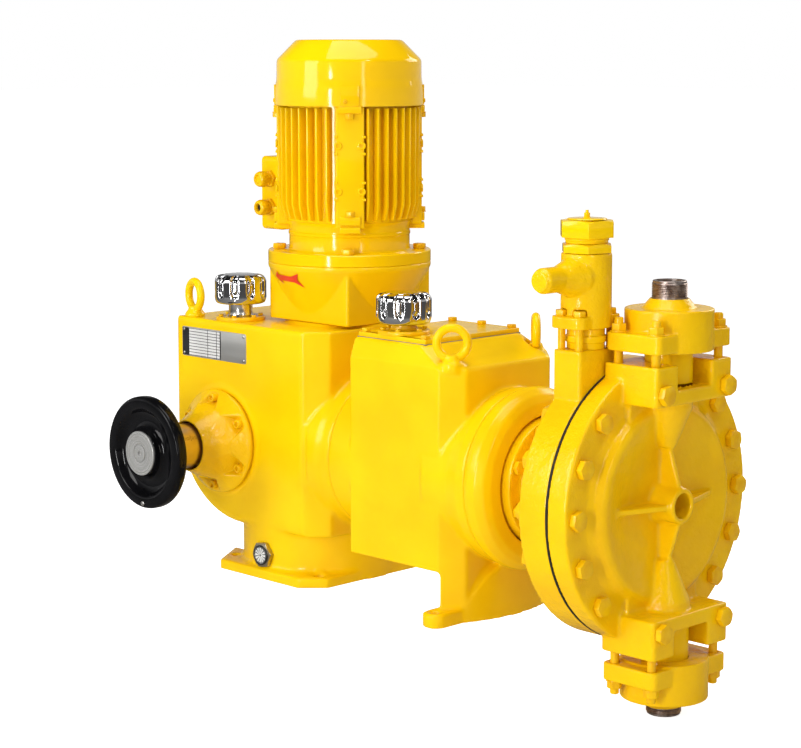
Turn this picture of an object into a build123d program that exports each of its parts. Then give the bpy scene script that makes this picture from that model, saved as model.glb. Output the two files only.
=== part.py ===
from build123d import *
import math
import os

# Hydraulically actuated diaphragm metering pump with a vertical flange motor and a worm drive.
# Millimetres, +Z up.  The origin is the centre of the gearbox foot's bolt square, on the mounting plane.
# The handwheel points to -Y and the liquid end to +X.

# Driving dimensions -------------------------------------------------------------------------------
AXIS_Z = 201.0            # height of the crank axis and of the plunger axis
MOTOR_X, MOTOR_Y = 30.0, 30.0
CRANK_X = -94.0           # crank axis, parallel to Y
PLUNGER_Y = -10.0         # plunger axis, parallel to X
FACE_Y = 125.0            # front and back faces of the gearbox, either side of Y = 0
WALL = 9.0
CORNER = 31.0             # upright chamfer between front face and liquid end

BASE_T = 15.0             # gearbox base plate
FOOT_PITCH = 192.0        # gearbox foot holes, square
FOOT_HOLE_R = 7.0
PEDESTAL_R = 124.0

GEAR_LEFT, GEAR_RIGHT = -206.0, 120.0
GEAR_TOP, GEAR_BOTTOM = 385.0, 75.0
BELLY_R = 148.0           # round underside at the handwheel end
BOSS_R = 116.0
JOINT_X = 147.0           # gearbox meets hydraulic housing

HYD_LEFT, HYD_RIGHT = 193.0, 400.0
HYD_BOTTOM, HYD_CREASE, HYD_RIM = 72.0, 360.0, 388.0
HYD_FACE = 115.0          # half width about the plunger axis
HYD_CORNER = 28.0
HYD_FOOT_X, HYD_FOOT_Y = 380.0, 123.0     # foot holes, either side of the plunger axis
NECK_R, NECK_X = 126.0, 430.0

FLANGE_R = 190.0          # diaphragm flanges
FLANGE_X0, FLANGE_X1, FLANGE_X2 = 590.0, 636.0, 670.0
BOLT_R, BOLT_COUNT = 170.0, 16
ADAPTER_BOLT_R = 79.5
CLAMPED = 2.4             # diaphragm thickness between the flanges
RECESS_R = 112.0
VALVE_X = 683.0
BLOCK_HALF_X, BLOCK_HALF_Y = 45.0, 80.0
BLOCK_Z0, BLOCK_Z1 = 140.5, 193.0         # valve blocks, above and below the plunger axis
PORT_R = 23.9             # male G 1 1/2 connections
DISCHARGE_STUB, SUCTION_STUB = 22.0, 10.0
CLAMP_R = 59.0
STUD_X, STUD_Y = 31.0, 66.0

LANTERN_HALF, LANTERN_TOP = 88.0, 479.0
MOTOR_FLANGE_R, MOTOR_FLANGE_TOP = 125.0, 496.0
FRAME_R, FRAME_Z0, FRAME_Z1 = 112.0, 541.0, 716.0
MOTOR_TOP = 819.0
FIN_COUNT = 44

MODULE, WHEEL_TEETH, WORM_STARTS = 4.5, 38, 2
WHEEL_R = MODULE * WHEEL_TEETH / 2.0
WORM_R = (MOTOR_X - CRANK_X) - WHEEL_R
WORM_LEAD = math.pi * MODULE * WORM_STARTS
TOOTH_SHARE = 0.38        # tooth thickness over pitch, leaving visible backlash

WHEEL_RIM_R = 84.5        # handwheel
HUB_Y = -283.0            # front of the handwheel's hub
SLEEVE_Y, SLEEVE_LENGTH = -178.0, 81.0
CONROD_Y = -21.5          # the connecting rod passes beside the worm
COVER_R = 81.0

M16_AF, M16_HEAD, M16_R = 24.0, 10.0, 8.0
M12_AF, M12_HEAD, M12_R = 18.0, 7.5, 6.0
M8_AF, M8_HEAD, M8_R = 13.0, 5.3, 4.0

CAP1 = (-96.0, -83.0, GEAR_TOP)
CAP2 = (254.0, -75.0, HYD_RIM + 7)
SIGHT_X, SIGHT_Z = 3.0, 36.5
EYE1 = (-178.0, -107.0, GEAR_TOP)
EYE2 = (378.0, -104.0, 369.0)
EYE3 = (364.0, 86.0, 367.0)
JAW = 16.4
BOX_X0, BOX_X1, BOX_Y0, BOX_Y1, BOX_Z0, BOX_Z1 = -118.0, -76.0, -20.0, 80.0, 521.0, 635.0
GLAND_X = -97.0
GLAND_Z = (556.0, 600.0)
LID_X1, LID_HALF = 330.0, 98.0
ROD_LENGTH = 218.0
VALVE_LOW = AXIS_Z + 164.0
LOW_SEAT_Z = 2 * AXIS_Z - VALVE_LOW - 47.0
BALL_RISE = 17.0
CLAMP_Z0, CLAMP_Z1 = AXIS_Z + 207.0, AXIS_Z + 262.0
RELIEF_X, RELIEF_Y, PAD_Z = 612.0, -95.0, 411.0
RELIEF_STUD_X, RELIEF_STUD_Y = 15.0, 31.0

BOTTOM = (Align.CENTER, Align.CENTER, Align.MIN)


# Helpers ------------------------------------------------------------------------------------------
def rod(radius, length):
    """Cylinder standing on z = 0."""
    return Cylinder(radius, length, align=BOTTOM)


def tube(outer, inner, length):
    return rod(outer, length) - rod(inner, length)


def turned(*profile):
    """Solid of revolution about Z from (radius, z) points."""
    face = make_face(Polyline(*profile, close=True))
    return revolve(Plane.XZ * face, Axis.Z)


def prism(points, z0, z1):
    """Upright prism on a plan outline."""
    return Pos(0, 0, z0) * extrude(make_face(Polyline(*points, close=True)), z1 - z0)


def hexagon(across_flats, height):
    return extrude(RegularPolygon(across_flats / 2, 6, major_radius=False), height)


def slab(x0, x1, y0, y1, z0, z1):
    box = Box(x1 - x0, y1 - y0, z1 - z0, align=(Align.MIN, Align.MIN, Align.MIN))
    return Pos(x0, y0, z0) * box


def at_x(x, y, z):
    """Turns a piece built along Z so that it runs along +X."""
    return Pos(x, y, z) * Rot(0, 90, 0)


def at_front(x, y, z):
    """Turns a piece built along Z so that it runs along -Y."""
    return Pos(x, y, z) * Rot(90, 0, 0)


def ring_of(piece, radius, angles):
    """Copies of a piece built on the Z axis, moved out to a pitch circle."""
    return [Rot(0, 0, a) * Pos(radius, 0, 0) * piece for a in angles]


def even(count, start=0.0):
    return [start + 360.0 * i / count for i in range(count)]


def joined(pieces):
    out = pieces[0]
    for piece in pieces[1:]:
        out = out + piece
    return out


def less(body, pieces):
    for piece in pieces:
        body = body - piece
    return body


def group(pieces):
    """Separate solids that share one node."""
    return Compound(children=[p.solid() if len(p.solids()) == 1 else p for p in pieces])


def bolt(across_flats, head, radius, shank):
    """Hexagon head bolt: head above z = 0, shank below."""
    washer_face = rod(across_flats * 0.47, 0.6)
    body = washer_face + Pos(0, 0, 0.6) * hexagon(across_flats, head - 0.6)
    return body + Pos(0, 0, -shank) * rod(radius, shank)


def socket_screw(head_r, head, radius, shank):
    cap = rod(head_r, head) - Pos(0, 0, head * 0.45) * hexagon(head_r, head)
    return cap + Pos(0, 0, -shank) * rod(radius, shank)


def below(shape):
    """The same piece turned half round about the plunger axis."""
    return Pos(0, 2 * PLUNGER_Y, 2 * AXIS_Z) * Rot(180, 0, 0) * shape


def write(name, shape):
    export_step(shape, f"parts/{name}.step")


# Gearbox housing ----------------------------------------------------------------------------------
def front_outline(inset):
    """Front view of the gearbox: upright right side, round belly at the handwheel end."""
    left, right = GEAR_LEFT + inset, GEAR_RIGHT - inset
    top, low = GEAR_TOP - inset, GEAR_BOTTOM + inset
    r = BELLY_R - inset
    centre_x, centre_z = left + r, low + r
    lines = [
        Line((left, centre_z), (left, top)),
        Line((left, top), (right, top)),
        Line((right, top), (right, low)),
        Line((right, low), (centre_x, low)),
        CenterArc((centre_x, centre_z), r, 180, 90),
    ]
    return make_face(Wire(lines))


def gearbox_plan(inset, z0, z1):
    right, face = GEAR_RIGHT - inset, FACE_Y - inset
    cut = CORNER - inset * 0.4
    points = [(GEAR_LEFT, -face), (right - cut, -face), (right, -face + cut),
              (right, face - cut), (right - cut, face), (GEAR_LEFT, face)]
    return prism(points, z0, z1)


def gearbox_housing():
    body = Pos(0, FACE_Y, 0) * extrude(Plane.XZ * front_outline(0), 2 * FACE_Y)
    body = body & gearbox_plan(0, 0, GEAR_TOP)
    belly = body.edges().filter_by(GeomType.CIRCLE).filter_by(lambda e: e.radius > BELLY_R - 1)
    body = fillet(belly, 11)
    body += rod(PEDESTAL_R, GEAR_BOTTOM + 30)
    body += at_x(GEAR_RIGHT - 20, PLUNGER_Y, AXIS_Z) * turned(
        (0, 0), (BOSS_R + 3, 0), (BOSS_R + 3, 20), (BOSS_R, 30), (BOSS_R, JOINT_X - GEAR_RIGHT + 20),
        (0, JOINT_X - GEAR_RIGHT + 20))
    body += prism(base_outline(), 0, BASE_T)
    body += at_front(CRANK_X, -FACE_Y + 2, AXIS_Z) * rod(COVER_R + 3, 4)
    body += Pos(MOTOR_X, MOTOR_Y, GEAR_TOP - 1) * rod(LANTERN_HALF + 6, 5)
    cavity = Pos(0, FACE_Y - WALL, 0) * extrude(Plane.XZ * front_outline(WALL), 2 * (FACE_Y - WALL))
    body -= cavity & gearbox_plan(WALL, 0, GEAR_TOP)
    body -= Pos(0, 0, BASE_T) * rod(PEDESTAL_R - WALL, GEAR_BOTTOM)
    body -= at_front(CRANK_X, 0, AXIS_Z) * rod(60, 200)
    body -= at_front(CRANK_X, 200, AXIS_Z) * rod(52, 150)
    body -= at_x(0, PLUNGER_Y, AXIS_Z) * rod(60, 300)
    body -= Pos(MOTOR_X, MOTOR_Y, GEAR_TOP - 40) * rod(55, 60)
    body -= Pos(CAP1[0], CAP1[1], GEAR_TOP - 40) * rod(20, 60)
    body += at_front(SIGHT_X, -100, SIGHT_Z) * rod(22, PEDESTAL_R - 100)
    body -= at_front(SIGHT_X, -100, SIGHT_Z) * rod(14.1, 60)
    body -= Pos(EYE1[0], EYE1[1], GEAR_TOP - 12) * rod(M12_R, 20)
    for x in (-FOOT_PITCH / 2, FOOT_PITCH / 2):
        for y in (-FOOT_PITCH / 2, FOOT_PITCH / 2):
            body -= Pos(x, y, -1) * rod(FOOT_HOLE_R, BASE_T + 2)
    for screw in cover_places():
        body -= screw * Pos(0, 0, -60) * rod(4, 80)
    # seats that carry the worm's lower bearing and the upper bearing
    seat = Pos(MOTOR_X, MOTOR_Y, GEAR_BOTTOM + 4) * tube(44, 31.2, 26)
    body += seat
    return body.solids().sort_by(SortBy.VOLUME)[-1]


def base_outline():
    """Base plate: chamfered square with lugs that carry the two holes under the belly."""
    edge, lug_x, lug_y = FACE_Y + 8, -140.0, 61.0
    return [(-92, -edge), (GEAR_RIGHT - CORNER, -edge), (GEAR_RIGHT, -edge + CORNER),
            (GEAR_RIGHT, edge - CORNER), (GEAR_RIGHT - CORNER, edge), (-92, edge),
            (lug_x, lug_y), (-80, lug_y), (-80, -lug_y), (lug_x, -lug_y)]


def cover_places():
    """Six screw places on the crank cover, axis towards -Y."""
    face = at_front(CRANK_X, -FACE_Y - 14, AXIS_Z)
    return [face * Rot(0, 0, a) * Pos(68, 0, 0) for a in even(6, 30)]


def crank_cover():
    """Bearing cover of the crank with the conical nose that carries the scale sleeve."""
    casting = turned((0, 0), (COVER_R, 0), (COVER_R, 8), (COVER_R - 4, 12), (58, 30), (44, 56), (38.5, 68),
                     (38, 70), (0, 70))
    plug = Pos(0, 0, -26) * rod(59.7, 26)
    cover = at_front(CRANK_X, -FACE_Y - 2, AXIS_Z) * (casting + plug)
    for place in cover_places():
        cover -= place * rod(11, 40)
        cover -= place * Pos(0, 0, -60) * rod(4.2, 70)
    bore = at_front(CRANK_X, -FACE_Y - 2, AXIS_Z)
    cover -= bore * Pos(0, 0, -30) * rod(12.4, 60)
    cover -= bore * Pos(0, 0, 10) * rod(34.4, 62)
    cover -= bore * Pos(0, 0, -27) * rod(45.05, 24)
    return cover


def cover_screws():
    return group([place * socket_screw(6.5, 8, 4, 26) for place in cover_places()])


def bearing_cover():
    """Plain cover over the crank's back bearing."""
    cup = turned((0, 0), (66, 0), (66, 9), (62, 13), (0, 13))
    plug = Pos(0, 0, -20) * tube(51.7, 45.05, 20)
    holes = ring_of(Pos(0, 0, -1) * rod(4.5, 20), 58, even(6))
    return Pos(CRANK_X, FACE_Y, AXIS_Z) * Rot(-90, 0, 0) * (less(cup, holes) + plug)


def bearing_cover_screws():
    place = Pos(CRANK_X, FACE_Y + 13, AXIS_Z) * Rot(-90, 0, 0)
    return [place * p for p in ring_of(bolt(M8_AF, M8_HEAD, M8_R, 12.9), 58, even(6))]


# Worm drive ---------------------------------------------------------------------------------------
def tooth_section(root_half, tip_half, low, high):
    return [(-root_half, low), (root_half, low), (tip_half, high), (-tip_half, high)]


def worm_wheel():
    """Bronze wheel: slanted teeth that match the worm's lead angle."""
    lead_angle = math.degrees(math.atan(WORM_LEAD / (2 * math.pi * WORM_R)))
    half = math.pi * MODULE * TOOTH_SHARE / 2
    root_r, tip_r = WHEEL_R - 1.1 * MODULE, WHEEL_R + 0.85 * MODULE
    width = 30.0
    points = tooth_section(half + 2.0, half - 1.4, root_r - 2, tip_r)
    tooth = extrude(Plane.XY * make_face(Polyline(*points, close=True)), width / 2, both=True)
    # tooth points along local +Y with its length along Z; lean it by the lead angle about its own radius
    tooth = Rot(0, -lead_angle, 0) * tooth
    rim = tube(root_r, 72, width)
    web = Pos(0, 0, 9) * tube(73, 30, 12)
    hub = tube(42, 30, width)
    blank = Pos(0, 0, -width / 2) * (rim + web + hub)
    blank -= joined(ring_of(Pos(0, 0, -20) * rod(10, 40), 57, even(6)))
    pitch = 360.0 / WHEEL_TEETH
    teeth = [Rot(0, 0, pitch * (i + 0.5)) * Rot(0, 0, -90) * tooth for i in range(WHEEL_TEETH)]
    trim = Pos(0, 0, -width / 2) * rod(tip_r + 5, width)
    wheel = (blank + teeth) & trim
    return Pos(CRANK_X, MOTOR_Y, AXIS_Z) * Rot(-90, 0, 0) * wheel


def worm_shaft():
    """Two-start worm cut on its shaft, with bearing journals and coupling end."""
    root = WORM_R - 1.1 * MODULE
    tip = WORM_R + 0.85 * MODULE
    half = math.pi * MODULE * TOOTH_SHARE / 2
    length = 3 * WORM_LEAD
    start = AXIS_Z - length / 2
    points = [(root - 1.5, -half - 2.0), (tip, -half + 1.4), (tip, half - 1.4), (root - 1.5, half + 2.0)]
    helix = Helix(WORM_LEAD, length, WORM_R)
    section = Plane.XZ * make_face(Polyline(*points, close=True))
    thread = sweep(section, path=helix, is_frenet=True)
    threads = [Pos(0, 0, start) * Rot(0, 0, 360 * i / WORM_STARTS) * thread for i in range(WORM_STARTS)]
    spindle = turned((0, 84), (14.7, 84), (14.7, 108), (18, 108), (18, start - 14), (root, start - 6),
                     (root, start + length + 6), (19, start + length + 14), (19, 345), (17.2, 345),
                     (17.2, 386), (14, 388), (14, 428), (0, 428))
    return Pos(MOTOR_X, MOTOR_Y, 0) * joined([spindle] + threads)


def worm_bearings():
    lower = Pos(MOTOR_X, MOTOR_Y, 86) * tube(31.2, 15, 18)
    upper = Pos(MOTOR_X, MOTOR_Y, 352) * tube(36, 17.5, 20)
    return [lower, upper]


def worm_bearing_carrier():
    """Flanged sleeve in the housing roof that holds the upper bearing and the shaft seal."""
    sleeve = turned((36, -36), (54.7, -36), (54.7, 4), (72, 4), (72, 14), (30, 14), (30, 0), (36, 0))
    return Pos(MOTOR_X, MOTOR_Y, GEAR_TOP) * sleeve


def crankshaft():
    """Hollow crankshaft; the eccentric stands concentric, which is the zero-stroke setting."""
    shaft = turned((16, -121), (29.7, -121), (29.7, 121), (16, 121))
    collar = Pos(0, 0, 47) * tube(36, 16, 6)
    return Pos(CRANK_X, 0, AXIS_Z) * Rot(-90, 0, 0) * (shaft + collar)


def eccentric():
    return at_front(CRANK_X, CONROD_Y + 8, AXIS_Z) * tube(37, 29.8, 16)


def crank_bearings():
    ring = tube(45, 30, 20)
    front = at_front(CRANK_X, -FACE_Y + 21, AXIS_Z) * ring
    back = at_front(CRANK_X, FACE_Y - 1, AXIS_Z) * ring
    return [front, back]


# Stroke adjuster ----------------------------------------------------------------------------------
def adjusting_spindle():
    end = -HUB_Y - 51
    body = turned((0, 0), (15.5, 0), (15.5, 60), (12, 63), (12, end), (0, end))
    return at_front(CRANK_X, -50, AXIS_Z) * body


def scale_sleeve():
    """Polished sleeve on the handwheel that telescopes into the cover nose; grooves mark the stroke."""
    ring = turned((20, 0), (34, 0), (34, SLEEVE_LENGTH), (20, SLEEVE_LENGTH))
    mark = Pos(34, 0, 0) * Box(0.8, 5, 0.6)
    marks = [Rot(0, 0, 60) * Pos(0, 0, 14 + 4 * i) * mark for i in range(12)]
    return at_front(CRANK_X, SLEEVE_Y, AXIS_Z) * less(ring, marks)


def handwheel():
    """Dished solid-web handwheel with a rounded rim."""
    rim_out, rim_in = WHEEL_RIM_R, 62.0
    web = turned((12.2, -4), (31, -4), (33, -2), (38, -1), (rim_in - 4, -1), (rim_in + 3, -2),
                 (rim_out - 3, -2),
                 (rim_out, 1), (rim_out, 14), (rim_out - 3, 17), (rim_in + 6, 17), (rim_in + 1, 15),
                 (rim_in - 2, 9),
                 (rim_in - 9, 5), (40, 5), (36, 9), (34, 14), (34, 20), (12.2, 20))
    return at_front(CRANK_X, HUB_Y + 20, AXIS_Z) * web


def hub_disc():
    """Brushed steel plate on the handwheel's hub with the spindle nut in its middle."""
    plate = turned((0, 0), (33.5, 0), (33.5, 2.2), (32.8, 3), (14, 3), (13.6, 2.2), (13.2, 3), (0, 3))
    plate -= Pos(0, 0, 1) * hexagon(5, 5)
    return at_front(CRANK_X, HUB_Y, AXIS_Z) * plate


# Lantern and motor --------------------------------------------------------------------------------
def motor_at(z):
    return Pos(MOTOR_X, MOTOR_Y, z)


def lantern():
    """Square casting that turns into a round flange under the motor."""
    height = LANTERN_TOP - GEAR_TOP - 4
    square = Pos(0, 0, height / 2) * Box(2 * LANTERN_HALF, 2 * LANTERN_HALF, height)
    square = fillet(square.edges().filter_by(Axis.Z), 4)
    shoulder = Pos(0, 0, 14) * Cone(LANTERN_HALF, MOTOR_FLANGE_R, height - 22, align=BOTTOM)
    top = Pos(0, 0, height - 8) * rod(MOTOR_FLANGE_R, 8)
    body = square + shoulder
    body += top
    body -= Pos(0, 0, 12) * rod(70, height)
    body -= rod(72.3, 13)
    body -= Pos(0, 0, height - 5) * rod(90, 6)
    body -= joined(ring_of(Pos(0, 0, height - 14) * rod(6.2, 16), 107.5, even(4, 45)))
    return motor_at(GEAR_TOP + 4) * body


def shaft_coupling():
    """Two jaw hubs and the star between them."""
    lower = motor_at(401) * (tube(33, 14, 20) + Pos(0, 0, 20) * jaws(0))
    upper = motor_at(438) * (tube(33, 13, 24) + Pos(0, 0, -JAW) * jaws(60))
    return lower, upper


def jaws(turn):
    blank = tube(32, 21.5, JAW)
    sector = extrude(make_face(Polyline((0, 0), (60, -16), (60, 16), close=True)), JAW)
    return blank & joined([Rot(0, 0, turn + a) * sector for a in even(3)])


def coupling_star():
    ring = tube(21, 16.2, 15.6)
    spokes = [Rot(0, 0, 30 + a) * slab(17, 31.5, -3.6, 3.6, 0, 15.6) for a in even(6)]
    return motor_at(421.7) * joined([ring] + spokes)


def motor_pads():
    """Flat mounting pads at 45 degrees to the axes."""
    pad = slab(80, 115, -21, 21, 0, FRAME_Z1 - FRAME_Z0)
    notch = 8.0
    for z in (118.0, 50.0):
        for side in (-21, 21):
            pad -= Pos(112, side, z) * Box(16, notch, 14)
    return [Rot(0, 0, a) * pad for a in even(4, 45)]


def motor_housing():
    """Finned frame with its mounting flange."""
    frame = tube(96, 78, FRAME_Z1 - FRAME_Z0)
    fin = extrude(Pos(103, 0) * Rectangle(18, 3.2), FRAME_Z1 - FRAME_Z0 - 10)
    skip = [45, 135, 225, 315]
    fins = []
    for a in even(FIN_COUNT, 360 / FIN_COUNT / 2):
        if min(abs(a - s) for s in skip) > 11 and abs(a - 180) > 27:
            fins.append(Rot(0, 0, a) * Pos(0, 0, 5) * fin)
    pads = [p - rod(90, 400) for p in motor_pads()]
    body = motor_at(FRAME_Z0) * ((frame + fins) + pads)
    terminal_seat = motor_at(FRAME_Z0) * slab(-106, -92, -42, 42, 0, 86)
    flange = turned((20, 0), (MOTOR_FLANGE_R, 0), (MOTOR_FLANGE_R, 17), (96.5, 17), (92.5, 22), (92.5, 62.5),
                    (78, 62.5), (78, 30), (40, 30), (40, 10), (20, 10))
    flange += Pos(0, 0, -5) * tube(90, 80, 6)
    holes = ring_of(Pos(0, 0, -10) * rod(7, 40), 107.5, even(4, 45))
    return body + terminal_seat + motor_at(LANTERN_TOP) * less(flange, holes)


def end_shield():
    """Upper end shield under the fan cover."""
    disc = turned((20, 10), (31.2, 10), (31.2, -8), (40, -8), (40, 0), (95, 0), (95, 9), (40, 14), (20, 14))
    return motor_at(FRAME_Z1) * disc


def flange_bolts():
    place = motor_at(MOTOR_FLANGE_TOP)
    return [place * p for p in ring_of(bolt(M12_AF, M12_HEAD, M12_R, 28), 107.5, even(4, 45))]


def fan_cover():
    """Sheet cowl with a stepped skirt, coned shoulder and a grille of round slots."""
    t = 2.0
    top, shoulder, step = MOTOR_TOP - FRAME_Z1, 71.0, 35.0
    shell = turned((115.5 - t, 0), (115.5, 0), (115.5, step), (110, step + 3), (110, shoulder), (80, top),
                   (0, top),
                   (0, top - t), (79, top - t), (110 - t, shoulder - 1), (110 - t, step + 3),
                   (115.5 - t, step))
    for r in (26, 40, 54, 68):
        arc = tube(r + 4, r - 4, 10) - Box(400, 8, 40) - Box(8, 400, 40)
        shell -= Pos(0, 0, top - 6) * arc
    tabs = [Rot(0, 0, a) * slab(111, 118, -17, 17, 0, 28) for a in even(4, 45)]
    tabs = [tab - Pos(0, 0, -1) * rod(113.4, 40) for tab in tabs]
    return motor_at(FRAME_Z1) * (shell + tabs)


def cooling_fan():
    hub = tube(22, 12.5, 30)
    disc = Pos(0, 0, 24) * tube(98, 20, 3)
    blades = [Rot(0, 0, a) * slab(20, 96, -1.2, 1.2, 3, 25) for a in even(8)]
    return motor_at(FRAME_Z1 + 26) * joined([hub, disc] + blades)


def rotor_shaft():
    """Motor shaft with the rotor core and its end rings."""
    profile = turned((0, 440), (13, 440), (13, 492), (19.3, 494), (19.3, 530), (24, 534), (24, 556),
                     (48, 556), (48, 690),
                     (24, 690), (24, 706), (14.7, 706), (14.7, 730), (12.5, 730), (12.5, 782), (0, 782))
    return motor_at(0) * profile


def stator():
    """Laminated core and winding heads."""
    core = motor_at(575) * tube(77.9, 49, 100)
    heads = [motor_at(z) * tube(72, 54, 24) for z in (551, 675)]
    return joined([core] + heads)


def motor_bearings():
    lower = motor_at(495) * tube(39.9, 19.6, 13)
    upper = motor_at(710) * tube(31.1, 15, 14)
    return [lower, upper]


def terminal_box():
    box = slab(BOX_X0 + 10, BOX_X1, BOX_Y0, BOX_Y1, BOX_Z0, BOX_Z1)
    box = fillet(box.edges().filter_by(Axis.X), 7)
    box -= slab(BOX_X0, BOX_X1 - 6, BOX_Y0 + 4, BOX_Y1 - 4, BOX_Z0 + 4, BOX_Z1 - 4)
    for z in GLAND_Z:
        box -= at_front(GLAND_X, BOX_Y0 + 10, z) * rod(9, 20)
    return box


def terminal_box_lid():
    lid = slab(BOX_X0, BOX_X0 + 10, BOX_Y0, BOX_Y1, BOX_Z0, BOX_Z1)
    lid = fillet(lid.edges().filter_by(Axis.X), 7)
    return fillet(lid.faces().sort_by(Axis.X)[0].edges(), 3)


def cable_glands():
    gland = hexagon(24, 7) + Pos(0, 0, 7) * rod(10.5, 6) + Pos(0, 0, 13) * hexagon(22, 6)
    gland += Pos(0, 0, -6) * rod(9, 6)
    gland -= Pos(0, 0, -7) * rod(6, 40)
    return group([at_front(GLAND_X, BOX_Y0, z) * gland for z in GLAND_Z])


# Fittings on top ----------------------------------------------------------------------------------
def breather_neck():
    """Screwed flange and neck with bayonet seat."""
    flange = turned((16, 0), (38, 0), (38, 5), (37, 6), (20, 6), (18.5, 8), (18.5, 20), (16, 20))
    heads = ring_of(Pos(0, 0, 6) * rod(3.2, 2), 31, even(6))
    return joined([flange] + heads)


def breather_cap():
    """Round cap with ten U-shaped flutes around its grip."""
    cap = turned((0, 30), (15.5, 30), (15.5, 21), (36, 21), (38, 23), (40, 34), (40, 56), (36, 63),
                 (30, 66), (0, 66))
    flute = Pos(41.5, 0, 38) * rod(5.5, 40) + Pos(41.5, 0, 38) * Sphere(5.5)
    stem = Pos(0, 0, 8) * rod(15.2, 23)
    return less(cap, ring_of(flute, 0, even(10, 18))) + stem


def eyebolt():
    """Lifting eye with a collar and a threaded shank."""
    ring = Pos(0, 0, 33) * Rot(90, 0, 0) * Torus(21.5, 6)
    foot = turned((0, 0), (15, 0), (15, 5), (9, 10), (7.5, 15), (0, 15))
    return ring + foot + Pos(0, 0, -11) * rod(M12_R, 12)


def eyebolts():
    places = [(EYE1, 25.0), (EYE2, 45.0), (EYE3, -45.0)]
    return group([Pos(*at) * Rot(0, 0, turn) * eyebolt() for at, turn in places])


def sight_glass():
    """Hexagon frame with the glass disc set in it."""
    frame = hexagon(36, 9) - Pos(0, 0, -1) * rod(12.5, 20) + Pos(0, 0, -16) * tube(14, 11, 17)
    glass = Pos(0, 0, 1) * rod(12.5, 5)
    place = at_front(SIGHT_X, -PEDESTAL_R, SIGHT_Z)
    return group([place * frame, place * glass])


# Hydraulic housing --------------------------------------------------------------------------------
def hyd_plan(inset):
    """Plan outline, symmetric about the plunger axis, chamfered at the liquid end."""
    left, right, half = HYD_LEFT + inset, HYD_RIGHT - inset, HYD_FACE - inset
    cut = HYD_CORNER - 0.4 * inset
    return [(left, PLUNGER_Y - half), (right - cut, PLUNGER_Y - half), (right, PLUNGER_Y - half + cut),
            (right, PLUNGER_Y + half - cut), (right - cut, PLUNGER_Y + half), (left, PLUNGER_Y + half)]


def hyd_roof_plan():
    left, right, half, cut = HYD_LEFT, HYD_RIGHT - 58, HYD_FACE - 10, 20.0
    return [(left, PLUNGER_Y - half), (right - cut, PLUNGER_Y - half), (right, PLUNGER_Y - half + cut),
            (right, PLUNGER_Y + half - cut), (right - cut, PLUNGER_Y + half), (left, PLUNGER_Y + half)]


def hydraulic_housing():
    body = prism(hyd_plan(0), HYD_BOTTOM, HYD_CREASE)
    low = Pos(0, 0, HYD_CREASE) * make_face(Polyline(*hyd_plan(0), close=True))
    high = Pos(0, 0, HYD_RIM) * make_face(Polyline(*hyd_roof_plan(), close=True))
    body += loft([low, high], ruled=True)
    leg_plan = [p for p in hyd_plan(0) if p[0] > HYD_LEFT]
    leg = prism(leg_plan, 0, HYD_BOTTOM + 1)
    body += leg
    bulge = Pos(199, PLUNGER_Y, 0) * rod(219, 100) & (at_x(HYD_RIGHT - 30, PLUNGER_Y, -10) * rod(92, 60))
    body += bulge & slab(HYD_RIGHT - 30, HYD_RIGHT + 40, -200, 200, 0, 100)
    flare = Pos(199, PLUNGER_Y, 0) * rod(219, 20) & slab(370, 430, PLUNGER_Y - 98, PLUNGER_Y + 98, 0, 20)
    body += flare
    foot = slab(362, 398, PLUNGER_Y - HYD_FOOT_Y, PLUNGER_Y + HYD_FOOT_Y, 0, 20)
    for y in (PLUNGER_Y - HYD_FOOT_Y - 5, PLUNGER_Y + HYD_FOOT_Y + 5):
        foot += Pos(HYD_FOOT_X, y, 0) * rod(18, 20)
    body += foot
    neck_in = at_x(HYD_LEFT, PLUNGER_Y, AXIS_Z) * Rot(0, 180, 0) * turned(
        (0, -20), (BOSS_R - 4, -20), (BOSS_R, 0), (BOSS_R, HYD_LEFT - JOINT_X), (0, HYD_LEFT - JOINT_X))
    neck_out = at_x(HYD_RIGHT - 60, PLUNGER_Y, AXIS_Z) * turned(
        (0, 0), (BOSS_R + 4, 0), (BOSS_R + 4, 50), (NECK_R, 74), (NECK_R, 90), (0, 90))
    body += neck_in
    body += neck_out
    cavity = prism(hyd_plan(WALL), HYD_BOTTOM + WALL, HYD_CREASE)
    inner_roof = slab(HYD_LEFT + WALL, HYD_RIGHT - 75, PLUNGER_Y - 90, PLUNGER_Y + 90, HYD_CREASE - 1,
                      HYD_RIM + 1)
    body -= cavity
    body -= inner_roof
    body -= at_x(JOINT_X - 1, PLUNGER_Y, AXIS_Z) * rod(60, 90)
    body -= at_x(HYD_RIGHT - 60, PLUNGER_Y, AXIS_Z) * rod(75, 100)
    for y in (PLUNGER_Y - HYD_FOOT_Y - 5, PLUNGER_Y + HYD_FOOT_Y + 5):
        body -= Pos(HYD_FOOT_X, y, -1) * rod(FOOT_HOLE_R, 60)
    for eye in (EYE2, EYE3):
        body += Pos(eye[0], eye[1], eye[2] - 14) * rod(16, 14)
        body -= Pos(*eye) * rod(16, 40)
        body -= Pos(eye[0], eye[1], eye[2] - 12) * rod(M12_R, 14)
    return body.solids().sort_by(SortBy.VOLUME)[-1]


def lid_plate(z, thickness, grow):
    plate = slab(HYD_LEFT + 1 - grow, LID_X1 + grow, PLUNGER_Y - LID_HALF - grow,
                 PLUNGER_Y + LID_HALF + grow, z,
                 z + thickness)
    return plate


def lid_screw_places():
    near, far = PLUNGER_Y - LID_HALF + 8, PLUNGER_Y + LID_HALF - 8
    return [(HYD_LEFT + 9, near), (LID_X1 - 8, near), (LID_X1 - 8, far), (262, far), (HYD_LEFT + 9, far)]


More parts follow.
